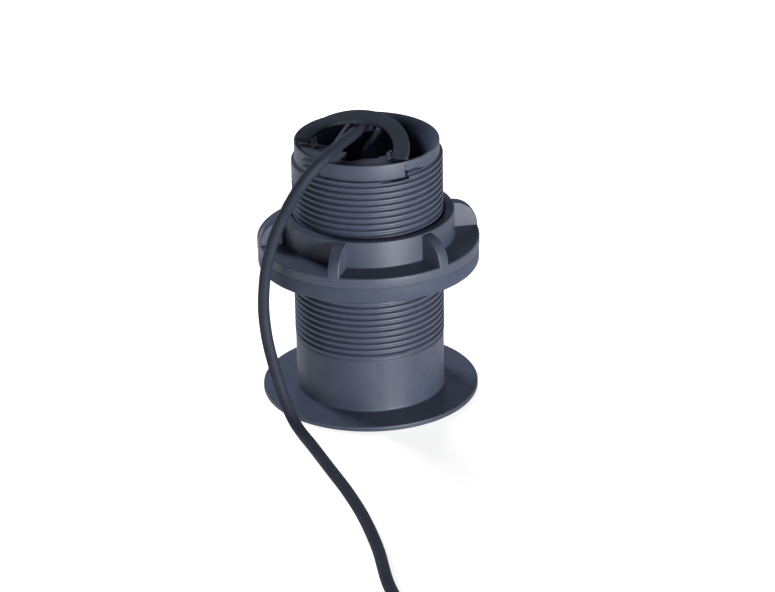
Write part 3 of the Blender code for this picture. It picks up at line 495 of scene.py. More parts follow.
@dataclass
class Maker:
    """Turns meshes into pieces that are dressed and ride on a body."""

    finishes: FinishMaker
    bevel_angle: float = 40.0

    def piece(self, tag: Tag, edit: BMesh, smooth_angle: float = 32.0,
              matrix: Optional[Matrix] = None, bevel: float = 0.0, bevel_steps: int = 3) -> None:
        """Make a dressed piece from a mesh.

        Args:
            tag: What the piece is.
            edit: Its mesh, freed here.
            smooth_angle: Edges sharper than this stay sharp, in degrees.
            matrix: Placement, applied to the mesh.
            bevel: Size of the rounding of sharp edges.
            bevel_steps: Facets across that rounding.
        """
        bmesh.ops.remove_doubles(edit, verts=edit.verts, dist=MERGE_DISTANCE)
        bmesh.ops.recalc_face_normals(edit, faces=edit.faces)
        if matrix is not None:
            bmesh.ops.transform(edit, matrix=matrix, verts=edit.verts)
        mesh = new_mesh(tag.name, edit)
        mesh.shade_smooth()
        mesh.set_sharp_from_angle(angle=math.radians(smooth_angle))
        piece = new_object(tag.name, mesh)
        self.dress(piece, tag)
        if bevel > 0.0:
            rounding = piece.modifiers.new("rounded edges", "BEVEL")
            rounding.width, rounding.segments = bevel, bevel_steps
            rounding.limit_method = "ANGLE"
            rounding.angle_limit = math.radians(self.bevel_angle)
            rounding.harden_normals = True

    def dress(self, piece: Object, tag: Tag) -> None:
        """Give a new piece its material and its body, and hide the CAD nodes that it replaces.

        Args:
            piece: The piece.
            tag: What the piece is.
        """
        piece.data.materials.append(self.finishes.material(tag.finish))
        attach(piece, tag.body.value)
        if tag.stands_for:
            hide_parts(*tag.stands_for)
        log.info("made %s", piece.name)

    def turned(self, tag: Tag, outline: Sequence[Point], segments: int = 128,
               matrix: Optional[Matrix] = None) -> None:
        """Make a round piece from a closed outline, or from one that starts and ends on the axis.

        Args:
            tag: What the piece is.
            outline: Points as (radius, height).
            segments: Facets all round.
            matrix: Placement, applied to the mesh.
        """
        edit = bmesh.new()
        points = [edit.verts.new((radius, 0.0, height)) for radius, height in outline]
        edges = [edit.edges.new(pair) for pair in zip(points, points[1:])]
        if outline[0][0] > TINY:
            edges.append(edit.edges.new((points[-1], points[0])))
        bmesh.ops.spin(edit, geom=points + edges, cent=(0, 0, 0), axis=(0, 0, 1),
                       angle=2 * math.pi, steps=segments)
        self.piece(tag, edit, matrix=matrix)


@dataclass
class Stem:
    """The housing: flange, barrel, helical thread, collar, pad and mouth."""

    maker: Maker
    height: float = 91.3 * MM
    crest: float = 25.5 * MM
    depth: float = 1.2 * MM
    pitch: float = 2.187 * MM
    low_end: float = 20.3 * MM
    fade_turns: float = 0.8
    runout: float = 1.0 * MM
    barrel: float = 25.3 * MM
    flange: float = 36.9 * MM
    flange_thickness: float = 1.8 * MM
    flange_edge: float = 0.35 * MM
    flange_fillet: float = 0.6 * MM
    bore: float = 21.9 * MM
    lip_bore: float = 20.0 * MM
    lip: float = 6.0 * MM
    collar: float = 24.4 * MM
    collar_depth: float = 5.5 * MM
    collar_span: Point = (-40.0, 31.0)
    collar_roots: Point = (0.8 * MM, 0.6 * MM)
    collar_backing: float = 0.5 * MM
    slit_span: Point = (31.1, 33.0)
    slit_levels: Point = (3.3 * MM, 6.3 * MM)
    slit_floor: float = 22.3 * MM
    undercut_reach: float = 12.0
    undercut_rise: float = 0.1 * MM
    pad_span: Point = (-122.0, -57.0)
    pad_levels: Point = (79.1 * MM, 84.6 * MM)
    pad_root: float = 2.0 * MM
    neck_depths: Point = (3.2 * MM, 4.6 * MM)
    neck_span: Point = (31.2, 238.0)
    neck_ease: float = 30.0
    mouth_wall: float = 0.7 * MM
    mouth_edge: Point = (0.12 * MM, 0.1 * MM)
    chamfer: float = 2.5 * MM
    edge: float = 0.25 * MM
    edge_middle: float = 0.3
    skin_gap: float = 0.02 * MM
    columns: int = 216
    sector_step: float = 1.5
    seam: float = 0.2
    seam_clearance: float = 0.3
    profile: Sequence[Point] = (
        (0.00, 0.55), (0.06, 0.90), (0.13, 1.0), (0.42, 1.0), (0.49, 0.90), (0.55, 0.55),
        (0.63, 0.10), (0.71, 0.0), (0.85, 0.0), (0.92, 0.10))

    def crest_limit(self, azimuth: float, height: float) -> float:
        """Return the largest radius of the thread at a place.

        Args:
            azimuth: The place's azimuth, from -180 to 180.
            height: Its height.

        Returns:
            The radius.
        """
        below = self.height - height
        start, end = self.collar_span
        slit_from, slit_to = self.slit_span
        slit_top, slit_foot = self.slit_levels
        if slit_from < azimuth < slit_to and slit_top < below < slit_foot:
            return self.slit_floor
        if slit_from - self.undercut_reach < azimuth < slit_to \
                and self.collar_depth - self.undercut_rise < below < slit_foot:
            return self.slit_floor
        if below < self.collar_depth \
                and start - self.seam_clearance < azimuth < end + self.seam_clearance:
            return self.collar - self.collar_backing
        first, last = self.pad_span
        if first < azimuth < last:
            if below < self.height - self.pad_levels[1]:
                return self.collar
            if height > self.pad_levels[0]:
                return self.crest - self.depth
        around = azimuth % 360.0
        neck_from, neck_to = self.neck_span
        ease = clamped((around - neck_from) / self.neck_ease)
        if neck_from < around < neck_to and below < between(*self.neck_depths, ease):
            return self.collar
        return self.crest

    def thread(self, azimuth: float, first: float) -> list[Point]:
        """Return the (radius, height) points up the thread at one azimuth.

        Args:
            azimuth: The column's azimuth.
            first: The first column's azimuth, where the turns start.

        Returns:
            The points, the same number at every azimuth.
        """
        high = self.height - self.runout
        turns = math.ceil((high - self.low_end) / self.pitch) + 1
        share = (azimuth - first) / 360.0
        plan = (azimuth + 180.0) % 360.0 - 180.0
        root = self.crest - self.depth
        rows: list[Point] = []
        for turn in range(-1, turns):
            for place, rise in self.profile:
                level = self.low_end + self.pitch * (turn + place + share)
                if level <= self.low_end:
                    rows.append((self.barrel, self.low_end))
                elif level >= high:
                    rows.append((self.collar, high))
                else:
                    fade = min(1.0, (level - self.low_end) / (self.fade_turns * self.pitch))
                    cut = between(self.barrel, root + self.depth * rise, fade)
                    rows.append((min(cut, self.crest_limit(plan, level)), level))
        return rows

    def foot(self) -> list[Point]:
        """Return the points from the lip's bore round the flange to the foot of the barrel."""
        rim, thick, edge = self.flange, self.flange_thickness, self.flange_edge
        lower = corner_arc(rim, 0.0, -edge, edge, steps=4)
        upper = corner_arc(rim, thick, -edge, -edge, steps=4)[::-1]
        fillet = corner_arc(self.barrel, thick, self.flange_fillet, self.flange_fillet, steps=8)
        return [(self.lip_bore, 0.0)] + lower + upper + fillet

    def mouth(self) -> list[Point]:
        """Return the points from the rim's outer edge down the stepped bore."""
        top, edge, (across, down) = self.height, self.edge, self.mouth_edge
        inner, middle = self.collar - self.mouth_wall, edge * self.edge_middle
        return [(self.collar, top - edge), (self.collar - middle, top - middle),
                (self.collar - edge, top), (inner + across, top), (inner, top - down),
                (self.bore, top - self.chamfer), (self.bore, self.lip), (self.lip_bore, self.lip)]

    def build(self) -> None:
        """Build the stem, its collar and its plain pad."""
        breaks = [*self.collar_span, *self.pad_span, self.slit_span[1],
                  self.slit_span[0] - self.undercut_reach]
        even = [-180.0 + 360.0 / self.columns * index for index in range(self.columns)]
        pairs = [place + side for place in breaks for side in (-self.seam, self.seam)]
        kept = [angle for angle in even
                if all(abs(angle - pair) > self.seam_clearance for pair in pairs)]
        azimuths = sorted(kept + pairs)
        azimuths.append(azimuths[0] + 360.0)
        foot, mouth = self.foot(), self.mouth()
        skin = sweep(azimuths, lambda azimuth: foot + self.thread(azimuth, azimuths[0]) + mouth,
                     capped=False)
        self.maker.piece(Tag("housing_form", HOUSING_PLASTIC, stands_for=["housing"]), skin,
                         smooth_angle=40.0)
        low, top = self.height - self.collar_depth, self.height - self.skin_gap
        low_root, top_root = self.collar_roots
        self._sector("collar_sector", self.collar_span, [
            (self.collar - low_root, low, 0.0), (self.collar, low, self.edge),
            (self.collar, top, self.edge), (self.collar - top_root, top, 0.0)])
        low, top = self.pad_levels
        root, face = self.crest - self.pad_root, self.crest - self.skin_gap
        self._sector("plain_pad", self.pad_span, [
            (root, low, 0.0), (face, low, self.edge), (face, top, self.edge), (root, top, 0.0)])

    def _sector(self, name: str, span: Point, corners: Sequence[Triple]) -> None:
        """Build a plain face that stands over the thread.

        Args:
            name: Name of the piece.
            span: First and last azimuth.
            corners: Its section, as (radius, height, corner radius).
        """
        outline = rounded(corners)
        steps = round((span[1] - span[0]) / self.sector_step)
        self.maker.piece(Tag(name, HOUSING_PLASTIC),
                         sweep(evenly(*span, steps), lambda azimuth: outline))


@dataclass
class HullNut:
    """The nut with its fins, and the flat washer under it."""

    maker: Maker
    underside: float = 53.05 * MM
    rim: float = 37.65 * MM
    rim_thickness: float = 3.65 * MM
    rim_edge: float = 0.6 * MM
    hub: float = 29.2 * MM
    hub_height: float = 9.4 * MM
    hub_edge: float = 0.55 * MM
    fillet: float = 0.6 * MM
    bore: float = 26.0 * MM
    bore_chamfer: float = 0.5 * MM
    bore_edge: float = 0.3 * MM
    edge: float = 0.2 * MM
    fin_count: int = 6
    fin_thickness: float = 4.0 * MM
    fin_azimuth: float = -18.0
    fin_stand: float = 0.02 * MM
    fin_foot: float = 2.2 * MM
    fin_drop: float = 0.5 * MM
    fin_root: float = 1.0 * MM
    fin_round: float = 0.45 * MM
    washer: float = 37.5 * MM
    washer_top: float = 53.0 * MM
    washer_thickness: float = 5.3 * MM
    washer_edges: Point = (0.5 * MM, 0.15 * MM)
    facets: int = 160

    @property
    def base(self) -> float:
        """Return the height of the rim's upper face."""
        return self.underside + self.rim_thickness

    def build(self) -> None:
        """Build the nut, its fins and the washer."""
        edge, top = self.edge, self.base + self.hub_height
        outline = rounded([
            (self.bore, self.underside, edge), (self.rim, self.underside, edge),
            (self.rim, self.base, self.rim_edge), (self.hub, self.base, self.fillet),
            (self.hub, top, self.hub_edge), (self.bore + self.bore_chamfer, top, self.bore_edge),
            (self.bore, top - self.bore_chamfer, edge)], steps=6)
        self.maker.turned(Tag("nut_form", NUT_PLASTIC, Body.NUT, ["hull_nut"]), outline,
                          self.facets)
        self._fins()
        low, (low_edge, top_edge) = self.washer_top - self.washer_thickness, self.washer_edges
        outline = rounded([(self.bore, low, edge), (self.washer, low, low_edge),
                           (self.washer, self.washer_top, top_edge),
                           (self.bore, self.washer_top, edge)])
        self.maker.turned(Tag("washer_form", WASHER_RUBBER, Body.WASHER, ["hull_washer"]), outline,
                          self.facets)

    def _fins(self) -> None:
        """Build the quarter-round fins, whose outer faces run flush into the rim's side."""
        outer = self.rim + self.fin_stand
        reach, rise = outer - self.hub, self.hub_height - self.fin_drop
        arc = [(self.hub + reach * math.cos(a), self.base + rise * math.sin(a))
               for a in quarter(steps=20)]
        side = [(outer, self.base - self.fin_foot), (outer, self.base - self.fin_foot / 2)] + arc
        for index in range(self.fin_count):
            skin = loft([self._fin_section(side, *column) for column in self._fin_columns()])
            azimuth = self.fin_azimuth + 360.0 / self.fin_count * index
            self.maker.piece(Tag(f"nut_fin_{index + 1}", NUT_PLASTIC, Body.NUT), skin,
                             smooth_angle=50.0,
                             matrix=Matrix.Rotation(math.radians(azimuth), 4, "Z"))

    def _fin_columns(self) -> list[Point]:
        """Return (place across the fin, how far its outline draws in there) for each section."""
        half, size = self.fin_thickness / 2, self.fin_round
        right = [(0.0, 0.0)] + corner_arc(half, 0.0, -size, size, steps=5)
        return [(-across, drop) for across, drop in right[:0:-1]] + right

    def _fin_section(self, side: Sequence[Point], across: float, drop: float) -> list[Triple]:
        """Return one section of a fin, which follows the rim's round outside.

        Args:
            side: The fin's (radius, height) outline, from its foot over its arc to its top.
            across: Place across the fin's thickness.
            drop: How far the outline draws in here, to round the fin's edges.

        Returns:
            The section's points.
        """
        points = []
        for radius, height in side:
            turn = math.atan2(max(0.0, height - self.base), radius - self.hub)
            far = radius - drop * math.cos(turn)
            deep = math.sqrt(max(0.0, far * far - across * across))
            points.append((across, -deep, height - drop * math.sin(turn)))
        root = self.hub - self.fin_root
        return points + [(across, -root, points[-1][2]), (across, -root, side[0][1])]


@dataclass
class InsertHead:
    """What shows in the mouth: the head's floor, crescent ledge, ribs and cable boot."""

    maker: Maker
    floor_low: float = 61.8 * MM
    floor_top: float = 65.8 * MM
    floor_gap: float = 0.3 * MM
    floor_edges: Point = (0.2 * MM, 0.3 * MM)
    shell: float = 21.6 * MM
    top: float = 91.0 * MM
    sunk: float = 1.0 * MM
    ledge_wall: float = 2.3 * MM
    ledge_span: Point = (-102.0, 40.0)
    ledge_edges: Triple = (0.1 * MM, 0.25 * MM, 0.35 * MM)
    pad_ease: float = 4.0
    left_pad_width: float = 8.6 * MM
    left_pad_span: Point = (-86.0, -28.0)
    left_pad_taper: float = 20.0
    front_width: float = 4.7 * MM
    front_span: Point = (-17.0, -3.0)
    right_pad_width: float = 5.8 * MM
    right_pad_from: float = 14.0
    mouth_outer: float = 23.08 * MM
    neck: float = 88.5 * MM
    rib_thickness: float = 1.4 * MM
    rib_top: float = 90.5 * MM
    rib_slope: float = 6.0 * MM
    rib_heading: float = 15.0
    rib_wall: float = 19.6 * MM
    rib_edge: float = 0.3 * MM
    rib_fronts: Sequence[Point] = ((-11.0 * MM, -2.7 * MM), (-1.6 * MM, -10.0 * MM))
    boot_place: Point = (0.2 * MM, 11.0 * MM)
    boot_radius: float = 2.4 * MM
    boot_top: float = 78.8 * MM
    boot_foot: float = 4.5 * MM
    boot_foot_thickness: float = 2.0 * MM
    boot_edge: float = 0.2 * MM
    boot_lip: Triple = (0.5 * MM, 3.0 * MM, 0.35 * MM)

    def ledge_inner(self, azimuth: float) -> float:
        """Return the crescent's inner radius, which widens into a pad under each foot of the ring.

        Args:
            azimuth: Where on the crescent.

        Returns:
            The radius.
        """
        start, end = self.left_pad_span
        first, last = self.front_span
        middle = self.pad_ease / 2
        left = clamped((azimuth - start) / self.left_pad_taper)
        left *= 1.0 - smooth_step((azimuth - end + middle) / self.pad_ease)
        front = smooth_step((azimuth - first) / (last - first))
        right = smooth_step((azimuth - self.right_pad_from + middle) / self.pad_ease)
        return self.shell - (self.ledge_wall + (self.left_pad_width - self.ledge_wall) * left
                             + (self.front_width - self.ledge_wall) * front
                             + (self.right_pad_width - self.front_width) * right)

    def build(self) -> None:
        """Build every piece of the head."""
        side, (low_edge, top_edge) = self.shell - self.floor_gap, self.floor_edges
        outline = rounded([(0.0, self.floor_low, 0.0), (side, self.floor_low, low_edge),
                           (side, self.floor_top, top_edge), (0.0, self.floor_top, 0.0)])
        self.maker.turned(Tag("head_floor", HEAD_PLASTIC, stands_for=["insert_head"]), outline)
        start, end = self.ledge_span
        crescent = sweep(evenly(start, end, round(end - start)), self._ledge)
        self.maker.piece(Tag("head_crescent", HEAD_PLASTIC), crescent)
        for index, front in enumerate(self.rib_fronts):
            self._rib(f"head_rib_{index + 1}", front)
        self._boot()

    def _ledge(self, azimuth: float) -> list[Point]:
        """Return the ledge's finely rounded section at an azimuth."""
        inner, foot = self.ledge_inner(azimuth), self.floor_top - self.sunk
        neck_edge, outer_edge, inner_edge = self.ledge_edges
        return rounded([(inner, foot, 0.0), (self.shell, foot, 0.0),
                        (self.shell, self.neck, neck_edge),
                        (self.mouth_outer, self.top, outer_edge),
                        (inner, self.top, inner_edge)], steps=3)

    def _rib(self, name: str, front: Point) -> None:
        """Build one upright web.

        Args:
            name: Name of the rib.
            front: Plan position of its front end.
        """
        angle = math.radians(self.rib_heading)
        heading = Vector((math.sin(angle), math.cos(angle), 0.0))
        across = Vector((heading.y, -heading.x, 0.0)) * self.rib_thickness / 2
        start = Vector((*front, 0.0))
        along = start.dot(heading)
        length = -along + math.sqrt(along * along - start.length_squared + self.rib_wall ** 2)
        foot, top = self.floor_top - self.sunk, self.rib_top
        side = [(0.0, foot), (length, foot), (length, top), (self.rib_slope / 2, top),
                (0.0, top - self.rib_slope)]
        skin = slab([start + heading * reach - across + Vector((0, 0, height))
                     for reach, height in side], across * 2)
        self.maker.piece(Tag(name, HEAD_PLASTIC), skin, bevel=self.rib_edge)

    def _boot(self) -> None:
        """Build the boot, with a rolled lip where the cable leaves it."""
        foot_top = self.floor_low - self.floor_gap
        foot = foot_top - self.boot_foot_thickness
        radius, top, edge = self.boot_radius, self.boot_top, self.boot_edge
        lip_wall, lip_height, lip_edge = self.boot_lip
        outline = [(0.0, foot)] + rounded([
            (self.boot_foot, foot, edge), (self.boot_foot, foot_top, edge),
            (radius, foot_top, edge), (radius, top - lip_height, 0.0),
            (radius, top, lip_edge), (radius - lip_wall, top, 0.0)]) + [(0.0, top)]
        self.maker.turned(Tag("boot_form", SEAL_RUBBER, stands_for=["cable_boot"]), outline,
                          segments=40, matrix=Matrix.Translation((*self.boot_place, 0.0)))


@dataclass
class PullRing:
    """The hinged half ring and the clips that hold its studs."""

    maker: Maker
    outer: float = 20.75 * MM
    band: float = 5.35 * MM
    centre_drop: float = 3.0 * MM
    thickness: float = 1.6 * MM
    edge: float = 0.4 * MM
    line_offset: float = 12.4527 * MM
    line_shift: float = 0.5 * MM
    heading: float = -26.0
    lean: float = 23.4
    level: float = 92.4 * MM
    stud: float = 0.6 * MM
    stud_length: float = 2.0 * MM
    stud_root: float = 1.0 * MM
    ledge_top: float = 91.0 * MM
    clip_face: float = 14.428 * MM
    clip_width: float = 1.0 * MM
    clip_hole: float = 0.9 * MM
    clip_wall: float = 0.6 * MM
    clip_mouth: float = 1.0 * MM
    clip_root: float = 2.0 * MM
    clip_edge: float = 0.12 * MM
    arc_steps: int = 72
    heel_steps: int = 7
    notch_steps: int = 20

    def frame(self, lean: float) -> Matrix:
        """Return the placement of the ring's axes at a lean."""
        angle = math.radians(self.heading)
        along = Vector((math.cos(angle), math.sin(angle), 0.0))
        back = Vector((-along.y, along.x, 0.0))
        middle = along * self.line_shift - back * self.line_offset + Vector((0, 0, self.level))
        turn = Matrix.Rotation(angle, 4, "Z") @ Matrix.Rotation(math.radians(lean), 4, "X")
        return Matrix.Translation(middle) @ turn

    def foot(self, radius: float) -> float:
        """Return how far from the pivot line's middle an arc of this radius ends."""
        return math.sqrt(radius * radius - self.centre_drop * self.centre_drop)

    def arc_point(self, radius: float, share: float, height: float) -> Triple:
        """Return a point of the arc, from the right foot (0) to the left foot (1).

        Args:
            radius: Distance from the arc's centre, which lies in front of the pivot line.
            share: Place along the arc.
            height: Height across the band.

        Returns:
            The point in the ring's own axes.
        """
        start = math.asin(self.centre_drop / radius)
        angle = start + (math.pi - 2.0 * start) * share
        return radius * math.cos(angle), radius * math.sin(angle) - self.centre_drop, height

    def build(self) -> None:
        """Build the ring with its studs, and the clips."""
        half, up = self.band / 2, self.thickness / 2
        section = rounded([(self.outer - half + half * x, up * y, self.edge)
                           for x, y in ((1, -1), (1, 1), (-1, 1), (-1, -1))])
        band = [[self.arc_point(radius, share, height) for radius, height in section]
                for share in evenly(0.0, 1.0, self.arc_steps)]
        skin = loft(self._heel(section, 1)[::-1] + band + self._heel(section, -1))
        place = self.frame(self.lean)
        self.maker.piece(Tag("ring_form", RING_PLASTIC, Body.RING, ["pull_ring"]), skin,
                         matrix=place)
        inner, reach = self.foot(self.outer - self.band), self.stud_length + self.stud_root
        for side, label in ((-1, "left"), (1, "right")):
            spot = Matrix.Translation((side * (inner + self.stud_root - reach / 2), 0, 0))
            edit = bmesh.new()
            bmesh.ops.create_cone(edit, cap_ends=True, segments=24, radius1=self.stud,
                                  radius2=self.stud, depth=reach,
                                  matrix=spot @ Matrix.Rotation(QUARTER_TURN, 4, "Y"))
            self.maker.piece(Tag(f"ring_stud_{label}", RING_PLASTIC, Body.RING), edit,
                             matrix=place)
            self._clip(f"ring_clip_{label}", side)

    def _heel(self, section: Sequence[Point], side: int) -> list[list[Triple]]:
        """Return the sections, from the band outward, that round the ring's foot on a side."""
        return [[(side * self.foot(radius), -self.thickness / 2 * math.sin(angle),
                  height * math.cos(angle)) for radius, height in section]
                for angle in quarter(self.heel_steps)[1:-1]]

    def _clip(self, name: str, side: int) -> None:
        """Build one open-topped clip on the ledge.

        Args:
            name: Name of the clip.
            side: -1 for the left one, 1 for the right one.
        """
        hole, mouth, outer = self.clip_hole, self.clip_mouth / 2, self.clip_hole + self.clip_wall
        opening = math.asin(mouth / hole)
        notch = [(hole * math.cos(a), hole * math.sin(a))
                 for a in evenly(QUARTER_TURN + opening, QUARTER_TURN + 2 * math.pi - opening,
                                 self.notch_steps)]
        top, drop = hole + self.clip_wall / 2, self.level - self.ledge_top + self.clip_root
        profile = [(-mouth, top), (-outer, top), (-outer, -drop), (outer, -drop), (outer, top),
                   (mouth, top)] + notch[::-1]
        skin = slab([(side * self.clip_face, y, z) for y, z in profile],
                    Vector((-side * self.clip_width, 0, 0)))
        self.maker.piece(Tag(name, HEAD_PLASTIC), skin, matrix=self.frame(0.0),
                         bevel=self.clip_edge, bevel_steps=2)


def smooth_route(points: Iterable[Sequence[float]], spacing: float, fineness: int = 16
                 ) -> list[Vector]:
    """Space points evenly along the smooth curve through given points.

    Args:
        points: The given points.
        spacing: Distance between the new points.
        fineness: Steps of the curve between two given points.

    Returns:
        The new points.
    """
    knots = [Vector(point) for point in points]
    knots = [knots[0] * 2 - knots[1]] + knots + [knots[-1] * 2 - knots[-2]]
    fine: list[Vector] = []
    for before, start, end, after in zip(knots, knots[1:], knots[2:], knots[3:]):
        for index in range(fineness):
            t = index / fineness
            fine.append(0.5 * (2 * start + (end - before) * t
                               + (2 * before - 5 * start + 4 * end - after) * t * t
                               + (3 * start - before - 3 * end + after) * t * t * t))
    fine.append(knots[-2])
    lengths = [0.0]
    for first, second in zip(fine, fine[1:]):
        lengths.append(lengths[-1] + (second - first).length)
    route, place = [], 0
    for target in evenly(0.0, lengths[-1], max(2, round(lengths[-1] / spacing))):
        while place < len(fine) - 2 and lengths[place + 1] < target:
            place += 1
        share = (target - lengths[place]) / (lengths[place + 1] - lengths[place])
        route.append(fine[place].lerp(fine[place + 1], share))
    return route


@dataclass
class Cable:
    """The cable from the boot, over the mouth and the floor into its tied coil."""

    maker: Maker
    diameter: float = 4.0 * MM
    spacing: float = 2.5 * MM
    centre: Point = (0.0, -232.0 * MM)
    coil_floor: float = 1.2 * MM
    columns: int = 5
    layers: int = 6
    inner_radius: float = 21.0 * MM
    turn_points: int = 30
    entry_points: int = 4
    shift_share: float = 0.14
    last_turn: float = 220.0
    sway: Triple = (0.10 * MM, 3.0, 1.7)
    heave: Triple = (0.08 * MM, 2.0, 1.0)
    climb_steps: int = 5
    lead_in_height: float = 3.2 * MM
    lead_in: Sequence[Point] = ((20.0, 42.6 * MM), (4.0, 40.6 * MM), (-12.0, 39.5 * MM),
                                (-26.0, 39.1 * MM))
    lead: Sequence[Triple] = (
        (0.2, 11.0, 79.1), (0.2, 11.1, 84.0), (0.3, 10.8, 88.6), (0.1, 9.4, 92.0),
        (-0.9, 5.9, 93.8), (-2.6, 0.8, 94.2), (-5.3, -6.0, 94.5), (-8.6, -13.0, 94.7),
        (-12.0, -19.5, 94.0), (-16.0, -24.0, 91.8), (-20.2, -26.0, 87.6), (-23.8, -26.2, 82.0),
        (-27.1, -25.6, 75.6), (-29.9, -25.2, 69.6), (-32.1, -25.4, 63.0), (-34.0, -25.6, 55.0),
        (-35.0, -25.4, 46.0), (-35.1, -25.2, 38.0), (-34.0, -26.2, 28.5), (-31.6, -28.4, 18.5),
        (-28.8, -31.4, 9.6), (-26.0, -35.4, 4.2), (-23.2, -41.0, 2.3), (-19.6, -50.0, 2.1),
        (-13.6, -66.5, 2.1), (-7.6, -83.0, 2.1), (-2.4, -100.5, 2.1), (2.0, -121.0, 2.1),
        (6.0, -147.0, 2.1), (14.5, -170.0, 2.1), (27.6, -188.0, 2.1), (36.6, -204.0, 2.6))
    tail: Sequence[Triple] = (
        (-12.0, -203.4, 27.4), (-4.0, -201.2, 27.6), (5.0, -201.2, 27.6), (14.0, -204.6, 27.6),
        (22.2, -211.0, 27.9), (29.0, -220.0, 28.2), (33.6, -230.6, 29.2), (36.2, -240.0, 31.2),
        (36.6, -247.6, 33.2), (34.6, -253.4, 34.2), (30.6, -256.0, 34.5), (26.4, -256.0, 34.5),
        (22.6, -256.0, 34.5))
    plug_pieces: Sequence[str] = ("plug_body", "plug_boot", "plug_carrier", "plug_seal",
                                  "contact_pin_1", "contact_pin_2", "contact_pin_3",
                                  "contact_pin_4", "cable_tie_a", "cable_tie_b")

    def coil_point(self, angle: float, reach: float, height: float) -> Vector:
        """Return the point at an angle and a distance from the coil's axis."""
        return Vector((self.centre[0] + reach * math.cos(angle),
                       self.centre[1] + reach * math.sin(angle), height))

    @staticmethod
    def slack(wave: Triple, angle: float, turn: int) -> float:
        """Return how far a turn strays at an angle, for a wave of (size, waves, drift)."""
        return wave[0] * math.sin(wave[1] * angle + wave[2] * turn)

    def winding(self) -> list[Vector]:
        """Return the points of the coil's turns, laid side by side and layer on layer."""
        d = self.diameter
        radii = [self.inner_radius + d * (index + 0.5) for index in range(self.columns)][::-1]
        slots: list[Point] = []
        for layer in range(self.layers):
            order = radii if layer % 2 == 0 else radii[::-1]
            slots += [(radius, self.coil_floor + d * (layer + 0.5)) for radius in order]
        points = []
        for turn, (radius, level) in enumerate(slots):
            next_radius, next_level = slots[min(turn + 1, len(slots) - 1)]
            for step in range(self.turn_points):
                share = step / self.turn_points
                ease = smooth_step((share - (1.0 - self.shift_share)) / self.shift_share)
                angle = math.radians(-360.0 * share)
                reach = between(radius, next_radius, ease) + self.slack(self.sway, angle, turn)
                height = between(level, next_level, ease) + self.slack(self.heave, angle, turn)
                points.append(self.coil_point(angle, reach, height))
        unused = round(self.turn_points * (1.0 - self.last_turn / 360.0))
        return points[:len(points) - unused]

    def build(self) -> None:
        """Build the cable as one curve, and say what it is."""
        lead = smooth_route([Vector(point) * MM for point in self.lead], self.spacing)
        turns = self.winding()
        tail = [Vector(point) * MM for point in self.tail]
        entry = [self.coil_point(math.radians(angle), reach, self.lead_in_height)
                 for angle, reach in self.lead_in]
        first = self.entry_points
        merge = smooth_route([*lead[-2:], *entry, *turns[first - 1:first + 1]], self.spacing)
        climb = smooth_route([*turns[-2:], *self._climb(turns[-1], tail[0]), *tail], self.spacing)
        route = lead[:-2] + merge[:-1] + turns[first:-2] + climb
        curve = bpy.data.curves.new("cable", "CURVE")
        curve.dimensions = "3D"
        curve.bevel_depth = self.diameter / 2
        curve.bevel_resolution = 4
        curve.use_fill_caps = True
        spline = curve.splines.new("POLY")
        spline.points.add(len(route) - 1)
        for target, point in zip(spline.points, route):
            target.co = (*point, 1.0)
        spline.use_smooth = True
        cable = new_object("cable", curve)
        self.maker.dress(cable, Tag("cable", JACKET,
                                    stands_for=["cable_lead", "cable_coil", "cable_tail"]))
        length = sum((b - a).length for a, b in zip(route, route[1:]))
        log.info("cable is %.3f m long", length)

    def _climb(self, start: Vector, end: Vector) -> list[Vector]:
        """Return the points where the last turn climbs onto the coil.

        Args:
            start: End of the last turn.
            end: First point of the tail.

        Returns:
            The points between them.
        """
        centre = Vector((*self.centre, 0.0))
        first, last = start - centre, end - centre
        from_angle = math.atan2(first.y, first.x)
        to_angle = math.atan2(last.y, last.x)
        while to_angle > from_angle:
            to_angle -= 2 * math.pi
        points = []
        for index in range(1, self.climb_steps):
            share = index / self.climb_steps
            ease = smooth_step(share)
            points.append(self.coil_point(between(from_angle, to_angle, share),
                                          between(first.xy.length, last.xy.length, ease),
                                          between(first.z, last.z, ease)))
        return points


@dataclass
class InnerParts:
    """The parts that keep their CAD form and get their finish."""

    maker: Maker
    nodes: dict[str, Object]
    finishes: Sequence[tuple[str, Finish]] = (
        ("insert_shell", HEAD_PLASTIC), ("acoustic_window", WINDOW_RESIN), ("piezo_disc", CERAMIC),
        ("cork_liner", CORK), ("backing_pad", FOAM), ("potting_fill", POTTING),
        ("head_gasket", SEAL_RUBBER), ("o_ring_lower", SEAL_RUBBER), ("o_ring_upper", SEAL_RUBBER),
        ("lead_wire_a", RED_WIRE), ("lead_wire_b", BLACK_WIRE), ("cable_tie_a", TIE_PLASTIC),
        ("cable_tie_b", TIE_PLASTIC), ("plug_body", JACKET), ("plug_boot", SEAL_RUBBER),
        ("plug_carrier", TIE_PLASTIC), ("plug_seal", SEAL_RUBBER),
        ("contact_pin_1", CONTACT_METAL), ("contact_pin_2", CONTACT_METAL),
        ("contact_pin_3", CONTACT_METAL), ("contact_pin_4", CONTACT_METAL))

    def build(self) -> None:
        """Put each finish on its node."""
        for name, finish in self.finishes:
            node = self.nodes[name]
            material = self.maker.finishes.material(finish)
            if not node.data.materials:
                node.data.materials.append(material)
            for index in range(len(node.data.materials)):
                node.data.materials[index] = material
            log.info("dressed %s", name)


